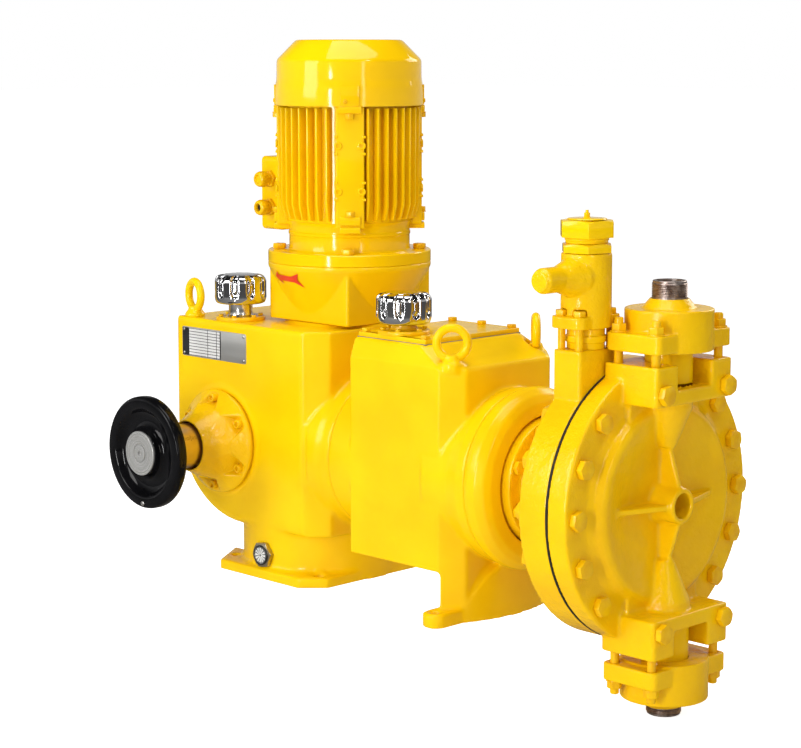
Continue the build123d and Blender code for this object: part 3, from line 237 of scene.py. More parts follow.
def clearGlass():
    material, tree, shader = newMaterial("sightGlass")
    cloud = noiseAt(tree, objectCoordinates(tree), 90, 3.0)
    link(tree, mixColours(tree, cloud, (0.75, 0.79, 0.77), (0.92, 0.95, 0.93)), "Color", shader, "Base Color")
    link(tree, spread(tree, cloud, 0.03, 0.07), "Result", shader, "Roughness")
    shader.inputs["Alpha"].default_value = 0.12
    return material


materials["sightGlass"] = clearGlass()


def turnX(degrees):
    return Matrix.Rotation(math.radians(degrees), 4, "X")


def turnY(degrees):
    return Matrix.Rotation(math.radians(degrees), 4, "Y")


def turnZ(degrees):
    return Matrix.Rotation(math.radians(degrees), 4, "Z")


def move(x, y, z):
    return Matrix.Translation((x, y, z))


towardFront = turnX(90)      # local Z becomes -Y
towardHead = turnY(90)       # local Z becomes +X
belowAxis = move(0, 2 * plungerY, 2 * axisHeight) @ turnX(180)


# Bevels every edge sharper than the angle.
def roundEdges(shape, width, segments=2, angle=28):
    sharp = [e for e in shape.edges if len(e.link_faces) == 2 and e.calc_face_angle(0) > math.radians(angle)]
    if sharp and width:
        bmesh.ops.bevel(shape, geom=sharp, offset=width, segments=segments, profile=0.5, affect="EDGES",
                        material=-1, clamp_overlap=True)
    return shape


# Spins a closed profile of (radius, height) points about Z.
def turned(profile, steps=64, edge=0.0, segments=2):
    shape = bmesh.new()
    corners = [shape.verts.new((r, 0, z)) for r, z in profile]
    loop = list(zip(corners, corners[1:])) + [(corners[-1], corners[0])]
    edges = [shape.edges.new(pair) for pair in loop if max(pair[0].co.x, pair[1].co.x) > 1e-6]
    bmesh.ops.spin(shape, geom=corners + edges, axis=(0, 0, 1), cent=(0, 0, 0), angle=2 * math.pi,
                   steps=steps, use_merge=True)
    bmesh.ops.remove_doubles(shape, verts=shape.verts, dist=1e-4)
    bmesh.ops.recalc_face_normals(shape, faces=shape.faces)
    return roundEdges(shape, edge, segments)


# Pulls a flat outline in XY up along Z.
def outlined(points, height, edge=0.0, segments=2):
    shape = bmesh.new()
    face = shape.faces.new([shape.verts.new((x, y, 0)) for x, y in points])
    pulled = bmesh.ops.extrude_face_region(shape, geom=[face])
    raised = [v for v in pulled["geom"] if isinstance(v, bmesh.types.BMVert)]
    bmesh.ops.translate(shape, verts=raised, vec=(0, 0, height))
    bmesh.ops.recalc_face_normals(shape, faces=shape.faces)
    return roundEdges(shape, edge, segments)


def block(x0, x1, y0, y1, z0, z1, edge=0.0, segments=2):
    shape = outlined([(x0, y0), (x1, y0), (x1, y1), (x0, y1)], z1 - z0)
    bmesh.ops.translate(shape, verts=shape.verts, vec=(0, 0, z0))
    return roundEdges(shape, edge, segments)


# Hexagon with its top corners turned off round, as on a bolt head or nut.
def hexHead(acrossFlats, height, chamfer=0.9):
    corner = acrossFlats / math.sqrt(3)
    points = [(corner * math.cos(math.radians(60 * i)), corner * math.sin(math.radians(60 * i)))
              for i in range(6)]
    shape = outlined(points, height)
    bmesh.ops.subdivide_edges(shape, edges=[e for e in shape.edges
                                            if abs(e.verts[0].co.z - e.verts[1].co.z) < 1e-6], cuts=3)
    for vert in shape.verts:
        radius = vert.co.xy.length
        drop = max(0.0, radius - acrossFlats * 0.48) * chamfer * 0.55
        if vert.co.z > height / 2:
            vert.co.z -= drop
    return roundEdges(shape, 0.35, 2, 40)


# Ring sections carried along a path.
def pipeAlong(points, radius, steps=16):
    shape = bmesh.new()
    rings = []
    for i, point in enumerate(points):
        ahead = Vector(points[min(i + 1, len(points) - 1)]) - Vector(points[max(i - 1, 0)])
        turn = ahead.to_track_quat("Z", "Y").to_matrix().to_4x4()
        made = bmesh.ops.create_circle(shape, segments=steps, radius=radius,
                                       matrix=Matrix.Translation(point) @ turn)
        rings.append(made["verts"])
    for low, high in zip(rings, rings[1:]):
        edges = [e for e in shape.edges if all(v in low for v in e.verts) or all(v in high for v in e.verts)]
        bmesh.ops.bridge_loops(shape, edges=edges)
    return shape


# Adds copies of a shape to a piece, one for each place.
def put(target, shape, *places):
    for place in places or (Matrix(),):
        copy = shape.copy()
        copy.transform(place)
        mesh = bpy.data.meshes.new("step")
        copy.to_mesh(mesh)
        target.from_mesh(mesh)
        bpy.data.meshes.remove(mesh)
        copy.free()
    shape.free()


# Places on a circle, turned outwards.
def ring(radius, angles):
    return [turnZ(a) @ move(radius, 0, 0) for a in angles]


# Evenly spaced angles.
def even(count, start=0.0):
    return [start + 360 * i / count for i in range(count)]


# Turns a bmesh in millimetres into a piece that rides on a body.
def finishPiece(name, shape, body, material, stands=(), sharp=32):
    bmesh.ops.scale(shape, verts=shape.verts, vec=(0.001, 0.001, 0.001))
    mesh = bpy.data.meshes.new(name)
    shape.to_mesh(mesh)
    shape.free()
    mesh.materials.append(materials[material])
    mesh.shade_smooth()
    mesh.set_sharp_from_angle(angle=math.radians(sharp))
    piece = bpy.data.objects.new(name, mesh)
    bpy.context.scene.collection.objects.link(piece)
    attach(piece, body)
    if stands:
        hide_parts(*stands)
    return piece


# Joins the loose triangles of a carried-over node.
def weldSeams(piece):
    weld = piece.modifiers.new("weld", "WELD")
    weld.merge_threshold = 0.00001


def softenMesh(piece, passes):
    smooth = piece.modifiers.new("soften", "SMOOTH")
    smooth.iterations = passes
    smooth.factor = 0.5


def bevelEdges(piece, width, angle):
    bevel = piece.modifiers.new("edges", "BEVEL")
    bevel.width = width / 1000
    bevel.segments = 2
    bevel.limit_method = "ANGLE"
    bevel.angle_limit = math.radians(angle)


# Melts the joined shapes of a casting into one skin with soft corners.
def blendMesh(piece, voxel, passes):
    remesh = piece.modifiers.new("skin", "REMESH")
    remesh.mode = "VOXEL"
    remesh.voxel_size = voxel / 1000
    remesh.use_smooth_shade = True
    softenMesh(piece, passes)


castNodes = {   # voxel in mm, smoothing passes, material
    "gearbox_housing": (3.5, 3, "castEnamel"),
    "hydraulic_housing": (2.9, 3, "castEnamel"),
    "adapter_ring": (2.0, 5, "castEnamel"),
    "displacement_chamber": (2.4, 3, "roughEnamelPaintedShade"),
    "pump_head": (2.3, 5, "roughEnamelPaintedShade"),
    "valve_clamps": (1.5, 5, "roughEnamelPaintedShade"),
    "relief_body": (1.3, 6, "roughEnamelPaintedShade"),
    "lantern": (2.0, 3, "castEnamel"),
}
for nodeName, (voxel, passes, material) in castNodes.items():
    node = nodes[nodeName]
    weldSeams(node)
    blendMesh(node, voxel, passes)
    node.data.materials.clear()
    node.data.materials.append(materials[material])

machinedNodes = {   # edge width in mm, material
    "bearing_cover": (1.2, "castEnamel"), "motor_end_shield": (0.8, "smoothEnamel"),
    "terminal_box": (0.6, "smoothEnamel"), "terminal_box_lid": (0.8, "smoothEnamel"),
    "reservoir_lid": (1.4, "castEnamel"), "valve_housings": (0.8, "smoothEnamel"),
    "relief_base": (0.8, "smoothEnamel"), "worm_bearing_carrier": (0.6, "bareCasting"),
    "worm_shaft": (0, "turnedSteel"), "rolling_bearings": (0.5, "polishedSteel"),
    "worm_wheel": (0, "bronze"), "crankshaft": (0.5, "turnedSteel"), "eccentric": (0.5, "turnedSteel"),
    "adjusting_spindle": (0.5, "turnedSteel"), "coupling_hubs": (0.5, "bareCasting"),
    "coupling_star": (0.5, "elastomer"), "cooling_fan": (0, "blackSatin"),
    "rotor_shaft": (0.5, "turnedSteel"), "stator": (0.5, "laminations"), "conrod": (0.8, "bareCasting"),
    "wrist_pin": (0.5, "turnedSteel"), "crosshead": (0.5, "bareCasting"),
    "crosshead_guide": (0.5, "bareCasting"), "plunger": (0.5, "polishedSteel"),
    "packing_rings": (0.5, "fluoroplastic"), "cylinder_liner": (0.5, "turnedSteel"),
    "support_plate": (0, "turnedSteel"), "diaphragm": (0, "rubber"),
    "valve_inserts": (0, "polishedSteel"), "discharge_ball": (0, "polishedSteel"),
    "suction_ball": (0, "polishedSteel"), "relief_poppet": (0.4, "turnedSteel"),
    "relief_spring": (0, "turnedSteel"),
}
for nodeName, (edge, material) in machinedNodes.items():
    node = nodes[nodeName]
    node.data.materials.clear()
    node.data.materials.append(materials[material])
    node.data.shade_smooth()
    node.data.set_sharp_from_angle(angle=math.radians(30))
    weldSeams(node)
    if edge:
        bevelEdges(node, edge, 35)
print("nodes dressed")

handwheel = {"frontY": -283, "rim": 84.5, "screwR": 77}


def makeHandwheel(d):
    hub = move(crankX, d["frontY"] + 20, axisHeight) @ towardFront
    rim = d["rim"]
    web = turned([(12.2, -4), (31, -4), (33, -2.5), (38, -1), (58, -1), (66, -2), (rim - 5, -2),
                  (rim - 2, -1.2), (rim - 0.4, 0.8), (rim, 3.5), (rim, 12), (rim - 0.6, 14.6),
                  (rim - 2.4, 16.6), (rim - 5, 17.4), (71, 17.4), (67.5, 16.6), (65.2, 14.6),
                  (63, 10.5), (60, 7.2), (55, 5), (48, 4.4), (42, 5.4), (38, 7.6), (35.6, 10.6),
                  (34.6, 14), (34.2, 18.6), (33.6, 20), (12.2, 20)], 128, 0.5)
    wheel = bmesh.new()
    put(wheel, web, hub)
    finishPiece("handwheelMoulding", wheel, "handwheel", "blackGloss", ["handwheel"], 40)
    disc = bmesh.new()
    put(disc, turned([(0, 0), (33.2, 0), (33.2, 2.4), (32.6, 3), (14.4, 3), (14.1, 1.2), (13.2, 1.2),
                      (12.9, 3), (3.4, 3), (3.0, 0.2), (0, 0.2)], 96, 0.15),
        move(crankX, d["frontY"], axisHeight) @ towardFront)
    finishPiece("handwheelDisc", disc, "handwheel", "brushedDisc", ["handwheel_hub_disc"])
    screw = bmesh.new()
    head = turned([(0, 0), (3.6, 0), (3.6, 1.6), (2.8, 2.2), (1.5, 2.2), (1.5, 1.0), (0, 1.0)], 24, 0.2)
    put(screw, head, move(crankX, d["frontY"] + 2.8, axisHeight - d["screwR"]) @ towardFront)
    finishPiece("handwheelScrew", screw, "handwheel", "turnedSteel")


# Polished sleeve with engraved rings and a line scale; its warm tint is a painted reflection of the yellow
# housing.
def makeSleeve():
    profile = [(20, 0), (34, 0)]
    for height in (14, 74):
        profile += [(34, height), (33.7, height + 0.3), (34, height + 0.6)]
    profile += [(34, 81), (20, 81)]
    sleeve = bmesh.new()
    put(sleeve, turned(profile, 96, 0.15), move(crankX, -178, axisHeight) @ towardFront)
    finishPiece("strokeSleeve", sleeve, "spindle", "steelWithPaintedReflection", ["scale_sleeve"])
    marks = bmesh.new()
    for i in range(21):
        length = 9 if i % 5 == 0 else 5
        place = move(crankX, -198, axisHeight) @ towardFront @ turnZ(30) @ move(34, 0, 2.6 * i)
        put(marks, block(-0.1, 0.06, -length / 2, length / 2, -0.25, 0.25), place)
    finishPiece("strokeScaleMarks", marks, "spindle", "platePrint")


makeHandwheel(handwheel)
makeSleeve()


# Heads: list of (place, across flats, head height, shank radius, shank length).
def boltSet(name, body, material, stands, heads):
    piece = bmesh.new()
    for place, flats, height, radius, shank in heads:
        put(piece, turned([(0, -0.2), (flats * 0.47, -0.2), (flats * 0.47, 0.7), (0, 0.7)], 32), place)
        put(piece, hexHead(flats, height - 0.6), place @ move(0, 0, 0.6) @ turnZ(17))
        put(piece, turned([(0, -shank), (radius, -shank), (radius, 0), (0, 0)], 24), place)
    finishPiece(name, piece, body, material, stands)


headAngles = [22.5 * i for i in range(16) if i not in (0, 8)]
longAngles = [22.5, 337.5, 157.5, 202.5]
headPlaces = []
for angle in headAngles:
    face = blockFace if angle in longAngles else headFace
    place = move(0, plungerY, axisHeight) @ towardHead @ turnZ(angle) @ move(boltCircle, 0, face)
    headPlaces.append((place, 24, 10, 8, face - backFace + 6))
boltSet("headBoltSet", "pump_body", "boltEnamel", ["head_bolts"], headPlaces)
nuts = bmesh.new()
for angle in headAngles:
    put(nuts, hexHead(24, 13), move(backFace, plungerY, axisHeight) @ turnY(-90) @ turnZ(180 - angle)
        @ move(boltCircle, 0, 0.2))
finishPiece("headBoltNuts", nuts, "pump_body", "boltEnamel")

m12Places = [(move(*motorAxis, 496) @ turnZ(a) @ move(107.5, 0, 0), 18, 8.5, 6, 28) for a in even(4, 45)]
m12Places += [(move(483, plungerY, axisHeight) @ towardHead @ turnZ(a) @ move(79.5, 0, 0), 18, 7.5, 6, 52)
              for a in even(8, 22.5)]
boltSet("flangeBoltSet", "pump_body", "boltEnamel", ["m12_hex_bolts"], m12Places)

lidScrews = [(202, -100), (322, -100), (322, 80), (262, 80), (202, 80)]
m8Places = [(move(x, y, 395), 13, 5.3, 4, 6.5) for x, y in lidScrews]
m8Places += [(move(crankX, 138, axisHeight) @ turnX(-90) @ turnZ(a) @ move(58, 0, 0), 13, 5.3, 4, 12)
             for a in even(6)]
boltSet("lidBoltSet", "pump_body", "boltEnamel", ["m8_hex_bolts"], m8Places)


cover = {"base": -127, "floor": 12, "screwR": 68, "half": 9.5, "side": 1.5, "back": 60, "rise": 2.9}


# Conical casting with a sloped pocket in its flank at every screw.
def makeCrankCover(d):
    flank = []
    for low, high, count in (((77, 12), (58, 30), 16), ((58, 30), (44, 56), 14), ((44, 56), (38.5, 68), 6)):
        flank += [(low[0] + (high[0] - low[0]) * i / count, low[1] + (high[1] - low[1]) * i / count)
                  for i in range(count)]
    casting = turned([(45.05, -26), (59.7, -26), (59.7, 0), (81, 0), (81, 8), (80, 10.5)] + flank
                     + [(38.5, 68), (38, 70), (34.4, 70), (34.4, -3), (45.05, -3)], 288)
    for vert in casting.verts:
        if vert.co.z <= d["floor"] or vert.co.xy.length < 36:
            continue
        angle = math.degrees(math.atan2(vert.co.y, vert.co.x)) % 60 - 30
        across = abs(vert.co.xy.length * math.sin(math.radians(angle)))
        along = vert.co.xy.length * math.cos(math.radians(angle))
        pocket = d["floor"] + max(0.0, d["side"] * (across - d["half"]), d["rise"] * (d["back"] - along))
        vert.co.z = min(vert.co.z, pocket)
    shape = bmesh.new()
    put(shape, casting, move(crankX, d["base"], axisHeight) @ towardFront)
    piece = finishPiece("crankCoverCasting", shape, "pump_body", "roughEnamelPaintedShade",
                        ["crank_cover"], 50)
    softenMesh(piece, 5)


def makeCoverScrews():
    screws = bmesh.new()
    for angle in even(6, 30):
        place = move(crankX, -139, axisHeight) @ towardFront @ turnZ(angle) @ move(68, 0, 0)
        put(screws, turned([(0, -26), (4, -26), (4, 0), (6.6, 0), (6.6, 7.2), (6.0, 8), (3.6, 8), (3.2, 4.5),
                            (0, 4.5)], 32, 0.3), place)
    finishPiece("coverScrewSet", screws, "pump_body", "boltEnamel", ["crank_cover_screws"])


# Studs, washers and nuts over the valve clamps and the relief valve's ears.
def makeStuds():
    studs = bmesh.new()
    for x in (valveX - 31, valveX + 31):
        for y in (plungerY - 66, plungerY + 66):
            for side in (Matrix(), belowAxis):
                base = side @ move(x, y, 0)
                put(studs, turned([(0, 374), (6, 374), (6, 452), (5, 453.4), (0, 453.4)], 24, 0.3), base)
                put(studs, turned([(0, 434), (11.5, 434), (11.5, 436), (0, 436)], 32, 0.4), base)
                put(studs, hexHead(18, 9.6), base @ move(0, 0, 436) @ turnZ(11))
    for x in (reliefAxis[0] - 15, reliefAxis[0] + 15):
        for y in (reliefAxis[1] - 31, reliefAxis[1] + 31):
            put(studs, turned([(0, 397), (5, 397), (5, 455), (0, 455)], 24), move(x, y, 0))
            put(studs, hexHead(15, 8), move(x, y, 455) @ turnZ(20))
    finishPiece("studSet", studs, "pump_body", "boltEnamel", ["clamp_studs"])


makeCrankCover(cover)
makeCoverScrews()
makeStuds()
print("fasteners made")


# Three lifting eyes: a hoop on a turned foot.
def makeEyes():
    eyes = bmesh.new()
    for place in (move(-178, -107, 385) @ turnZ(-14), move(378, -104, 362) @ turnZ(45),
                  move(364, 86, 360) @ turnZ(-45)):
        hoop = pipeAlong([(21.5 * math.cos(a), 0, 33 + 21.5 * math.sin(a))
                          for a in [2 * math.pi * i / 48 for i in range(49)]], 6.2, 20)
        bmesh.ops.remove_doubles(hoop, verts=hoop.verts, dist=0.01)
        put(eyes, hoop, place)
        put(eyes, turned([(0, -11), (6, -11), (6, 0), (15.6, 0), (15.8, 3), (14.6, 6), (12, 9),
                          (10.5, 12), (9.6, 16), (0, 18)], 40), place)
    piece = finishPiece("liftingEyes", eyes, "pump_body", "castEnamel", ["lifting_eyebolts"])
    blendMesh(piece, 0.9, 6)


capShape = {"low": 21, "flutes": 10, "halfWidth": 9.0, "depth": 4.4, "start": 18}


# Chromed cap: each finger flute is a U-shaped hollow round a raised bar.
def makeCap(name, body, node, place, d):
    side = [(35, d["low"]), (37.4, 22.2), (39, 25), (39.8, 29)]
    side += [(40, z) for z in range(31, 56, 2)]
    side += [(39.7, 57), (39.0, 59), (37.8, 61), (36.0, 62.6), (33.6, 63.8), (30.6, 64.6), (26, 65.2),
             (14, 65.8)]
    cap = turned([(0, d["low"] + 1), (15, d["low"] + 1), (15, d["low"])] + side + [(0, 66)], 300)
    pitch = 360 / d["flutes"]
    for vert in cap.verts:
        radius = vert.co.xy.length
        if radius < 28 or vert.co.z < 26:
            continue
        angle = math.degrees(math.atan2(vert.co.y, vert.co.x)) - d["start"]
        across = abs((angle + pitch / 2) % pitch - pitch / 2) / d["halfWidth"]
        down = max(0.0, (40 - vert.co.z) / 9)
        reach = math.sqrt(across ** 2 + down ** 2)
        hollow = min(1.0, max(0.0, (1.12 - reach) / 0.3))
        barDown = max(0.0, (41 - vert.co.z) / 4, (vert.co.z - 53) / 4)
        bar = min(1.0, max(0.0, (0.5 - math.sqrt(across ** 2 + (barDown * 0.5) ** 2)) / 0.14))
        depth = d["depth"] * (hollow * hollow * (3 - 2 * hollow) - 0.62 * bar)
        vert.co.x *= (radius - depth) / radius
        vert.co.y *= (radius - depth) / radius
    shape = bmesh.new()
    put(shape, cap, place)
    put(shape, turned([(0, 8), (15.2, 8), (15.2, 22), (0, 22)], 40, 0.4), place)
    return finishPiece(name, shape, body, "chrome", [node], 60)


# Breather necks: the gearbox one is polished, the reservoir one painted.
def makeNecks():
    polished = bmesh.new()
    painted = bmesh.new()
    for x, y, z, top, target in ((-96, -83, 385, 26, polished), (254, -75, 395, 18, painted)):
        spot = move(x, y, z)
        put(target, turned([(16, 6), (21, 6), (19, 8), (18.5, 10.5), (18.5, top - 2), (19.4, top - 1.4),
                            (19.4, top), (16, top)], 72, 0.3), spot)
        put(painted, turned([(16, 0), (38, 0), (38, 4.6), (36.6, 6), (16, 6)], 96, 0.5), spot)
        for place in ring(31, even(6)):
            put(painted, hexHead(7, 3.4), spot @ place @ move(0, 0, 5.8) @ turnZ(12))
    finishPiece("neckFlanges", painted, "pump_body", "boltEnamel", ["breather_necks"])
    finishPiece("gearboxNeck", polished, "pump_body", "polishedSteel")


# Oil level glass: hexagon rim, dark cup, pale rays and a clear lens.
def makeSightGlass():
    place = move(3, -124, 36.5) @ towardFront
    rim = bmesh.new()
    put(rim, hexHead(36, 8.5, 1.3), place @ turnZ(8))
    put(rim, turned([(11, -16), (14, -16), (14, 0.5), (11, 0.5)], 48), place)
    finishPiece("sightGlassRim", rim, "pump_body", "plainBrass", ["oil_sight_glass"])
    back = bmesh.new()
    put(back, turned([(0, 8.2), (15.2, 8.2), (15.2, 9.4), (14.4, 9.9), (12.8, 9.9), (12.8, 8.9),
                      (0, 8.9)], 48), place)
    finishPiece("sightGlassReflector", back, "pump_body", "platePrint")
    rays = bmesh.new()
    for angle in even(12):
        put(rays, outlined([(2.0, -0.4), (11.2, -1.7), (11.2, 1.7), (2.0, 0.4)], 0.7), place
            @ turnZ(angle) @ move(0, 0, 8.7))
    finishPiece("sightGlassRays", rays, "pump_body", "plateWhite")
    lens = bmesh.new()
    put(lens, turned([(0, 9.5), (12.8, 9.5), (12.8, 9.9), (9, 10.3), (0, 10.5)], 48), place)
    finishPiece("sightGlassLens", lens, "pump_body", "sightGlass")


makeEyes()
makeCap("gearboxCapChrome", "gearbox_cap", "gearbox_filler_cap", move(-96, -83, 390), capShape)
makeCap("reservoirCapChrome", "reservoir_cap", "reservoir_filler_cap", move(254, -75, 389), capShape)
makeNecks()
makeSightGlass()
print("fittings made")


motor = {"low": 541, "high": 716, "core": 96, "tip": 112, "fins": 44, "skip": 12, "turn": 47}


def onMotor(height=0.0):
    return move(*motorAxis, height)


# Ribbed frame with four bolted pads, on its round flange.
def makeMotorFrame(d):
    frameShape = bmesh.new()
    height = d["high"] - d["low"]
    corners = [d["turn"] + 90 * i for i in range(4)]
    put(frameShape, turned([(78, 0), (d["core"], 0), (d["core"], height), (78, height)], 120),
        onMotor(d["low"]))
    for angle in even(d["fins"], 180 / d["fins"]):
        if min(abs(angle - c) for c in corners) > d["skip"] and abs(angle - 180) > 27:
            fin = outlined([(d["core"] - 2, -2.1), (d["tip"], -1.5), (d["tip"], 1.5),
                            (d["core"] - 2, 2.1)], height - 6)
            for vert in fin.verts:       # the fins run out towards the lower flange
                if vert.co.z < 1 and vert.co.x > d["core"]:
                    vert.co.z += 2
                    vert.co.x -= 7
            bmesh.ops.bisect_plane(fin, geom=fin.verts[:] + fin.edges[:] + fin.faces[:], plane_co=(0, 0, 24),
                                   plane_no=(0, 0, 1))
            for vert in fin.verts:
                if abs(vert.co.z - 24) < 0.1 and vert.co.x > d["core"]:
                    vert.co.x = d["tip"]
            roundEdges(fin, 0.8, 2, 40)
            put(frameShape, fin, onMotor(d["low"] + 3) @ turnZ(angle))
    for angle in corners:
        spot = onMotor(d["low"]) @ turnZ(angle)
        put(frameShape, block(86, 110.5, -21.5, 21.5, -6, height, 2.2, 3), spot)
        put(frameShape, block(106, 115, -15.5, 15.5, -1, 11.5, 1.2, 3), spot)
        put(frameShape, block(84, 115, -15.5, 15.5, -13, -4, 1.2, 3), spot)
        put(frameShape, block(106, 115, -17.5, 17.5, height - 10.5, height, 1.2, 3), spot)
        for side in (-1, 1):
            for level in (49, 117):
                boss = turned([(0, 0), (6.2, 0), (6.2, 2.6), (5.4, 3.4), (3.0, 3.4), (3.0, 1.2),
                               (0, 1.2)], 28, 0.3)
                put(frameShape, boss, spot @ move(109, 17.5 * side, level) @ towardHead)
                for gap in (-14, 11):
                    put(frameShape, block(100, 112.5, 21 * side - 3, 21 * side + 3, level + gap, level
                                          + gap + 4, 1), spot)
    put(frameShape, block(-107, -90, -42, 42, 0, 86, 2, 2), onMotor(d["low"]))
    put(frameShape, turned([(20, 0), (125, 0), (125, 15.6), (123.6, 17), (97, 17), (93.6, 19),
                            (92.5, 23), (92.5, 40), (93.6, 41.4), (93.6, 45), (92.5, 46.4), (92.5, 54),
                            (96, 60), (98, 62.4), (78, 62.4), (78, 30), (40, 30), (40, 10), (20, 10)],
                           160), onMotor(479))
    finishPiece("motorFrameCasting", frameShape, "pump_body", "smoothEnamel",
                ["motor_housing"])
    tie = bmesh.new()
    for angle in corners:
        for level, turn in ((d["high"] - 10.5, 180), (d["low"] + 11.5, 0)):
            place = onMotor(level) @ turnZ(angle) @ move(110, 0, 0) @ turnX(turn)
            put(tie, hexHead(12.5, 7.6), place @ move(0, 0, 0.8) @ turnZ(13))
            put(tie, turned([(0, 0), (8, 0), (8, 0.9), (0, 0.9)], 24, 0.2), place)
    finishPiece("motorTieScrews", tie, "pump_body", "boltEnamel")


# Pressed cowl: skirt with a joggle, rolled shoulder, cone and flat top with a slotted grille.
def makeFanCover():
    profile = [(111.9, 0), (113.6, 0), (113.3, 24), (112.6, 30), (111.4, 36), (110.7, 42), (110.4, 65),
               (109.8, 68), (107.8, 71), (82.6, 96.6), (80.4, 98), (77.6, 98.6), (72, 98.6), (72, 97),
               (77, 97), (80.6, 95.6), (106.4, 69.6), (108.4, 65), (108.9, 42), (109.8, 35),
               (111.5, 24)]
    cover = bmesh.new()
    put(cover, turned(profile, 144), onMotor(716))
    for radius in (16, 24, 32, 40, 48, 56, 64):
        hoop = turned([(radius - 1.6, 96.8), (radius + 1.6, 96.8), (radius + 1.6, 98.4),
                       (radius - 1.6, 98.4)], 96, 0.4)
        put(cover, hoop, onMotor(716))
    for angle in even(8):
        put(cover, block(9, 74, -1.8, 1.8, 96.6, 98.2, 0.4), onMotor(716) @ turnZ(angle))
    put(cover, turned([(0, 96.6), (11, 96.6), (11, 98.6), (0, 98.6)], 48, 0.5), onMotor(716))
    finishPiece("fanCowl", cover, "pump_body", "smoothEnamel", ["motor_fan_cover"])
    tabs = bmesh.new()
    screws = bmesh.new()
    for angle in even(4, motor["turn"]):
        plate = block(112.2, 114.2, -14, 14, 1, 31, 0.4)
        put(tabs, plate, onMotor(716) @ turnZ(angle))
        head = turned([(0, 0), (3.4, 0), (3.4, 1.4), (2.4, 2.2), (1, 2.2), (1, 1), (0, 1)], 24, 0.2)
        put(screws, head, onMotor(723) @ turnZ(angle) @ move(114, -7, 0) @ towardHead)
    finishPiece("fanCowlTabs", tabs, "pump_body", "smoothEnamel")
    finishPiece("fanCowlScrews", screws, "pump_body", "boltEnamel")


# Two cable glands, the lower one with an open mouth and the upper one blanked.
def makeGlands():
    glands = bmesh.new()
    mouths = bmesh.new()
    for height in (556, 600):
        place = move(-97, -20, height) @ towardFront
        put(glands, hexHead(24, 6.5, 1.2), place @ turnZ(9))
        put(glands, turned([(6.2, -6), (9, -6), (9, 6), (10.2, 6), (10.2, 12), (11.8, 12.4), (11.8, 22),
                            (10.9, 24.4), (8.6, 26), (6.8, 26.4), (6.2, 25)], 48, 0.4), place)
        put(glands, hexHead(21, 4.5, 1.0), place @ move(0, 0, 8) @ turnZ(22))
        for angle in even(14):
            put(glands, block(11, 12.3, -1.0, 1.0, 13.5, 21, 0.4), place @ turnZ(angle))
        if height == 556:
            put(mouths, turned([(0, 8), (6.2, 8), (6.2, 20), (0, 20)], 32), place)
        else:
            put(glands, turned([(0, 8), (6.4, 8), (6.4, 24), (0, 24.4)], 32, 0.4), place)
    finishPiece("cableGlandSet", glands, "pump_body", "boltEnamel", ["cable_glands"])
    finishPiece("cableGlandMouth", mouths, "pump_body", "blackSatin")


makeMotorFrame(motor)
makeFanCover()
makeGlands()
print("motor made")


plate = {"x0": -187, "x1": -35, "z0": 324.5, "z1": 370.5, "front": -125, "strip": 17, "table": 92, "rows": 9}


# Blank rating plate: dark strip, ruled white table and bare grey field, held by four rivets.
def makePlate(d):
    front, low, high = d["front"], d["z0"], d["z1"]
    split = d["x0"] + d["table"]
    sheet = block(0, d["x1"] - d["x0"], 0, high - low, 0, 1.6)
    bmesh.ops.bevel(sheet, geom=[e for e in sheet.edges if abs(e.verts[0].co.z - e.verts[1].co.z) > 1],
                    offset=3, segments=4, profile=0.5, affect="EDGES", material=-1)
    roundEdges(sheet, 0.3, 2, 50)
    plateShape = bmesh.new()
    put(plateShape, sheet, move(d["x0"], front + 0.8, low) @ towardFront)
    finishPiece("plateSheet", plateShape, "pump_body", "plateGrey")
    white = bmesh.new()
    put(white, block(d["x0"] + d["strip"], split, front - 0.95, front - 0.7, low + 1.4, high - 1.4))
    finishPiece("plateTable", white, "pump_body", "plateWhite")
    dark = bmesh.new()
    put(dark, block(d["x0"] + 1.2, d["x0"] + d["strip"], front - 1.02, front - 0.8, low + 1.4, high - 1.4))
    for i in range(d["rows"] + 1):
        z = low + 2.2 + i * (high - low - 4.4) / d["rows"]
        put(dark, block(d["x0"] + d["strip"], split, front - 1.08, front - 0.9, z - 0.45, z + 0.45))
    for x, wide in ((split - 30, 0.5), (split - 9, 0.5), (split, 1.0)):
        put(dark, block(x - wide, x + wide, front - 1.08, front - 0.9, low + 1.4, high - 1.4))
    finishPiece("plateRuling", dark, "pump_body", "platePrint")
    rivets = bmesh.new()
    for x in (d["x0"] + 5, d["x1"] - 5):
        for z in (low + 4.5, high - 4.5):
            put(rivets, turned([(0, 0), (2.4, 0), (2.2, 0.7), (1.2, 1.3), (0, 1.5)], 24),
                move(x, front - 0.8, z) @ towardFront)
    finishPiece("plateRivets", rivets, "pump_body", "turnedSteel")


arrow = {"x0": -18, "stretch": 1.08, "z0": 446, "half": 88, "coneFoot": 403, "coneTop": 471, "flange": 125}


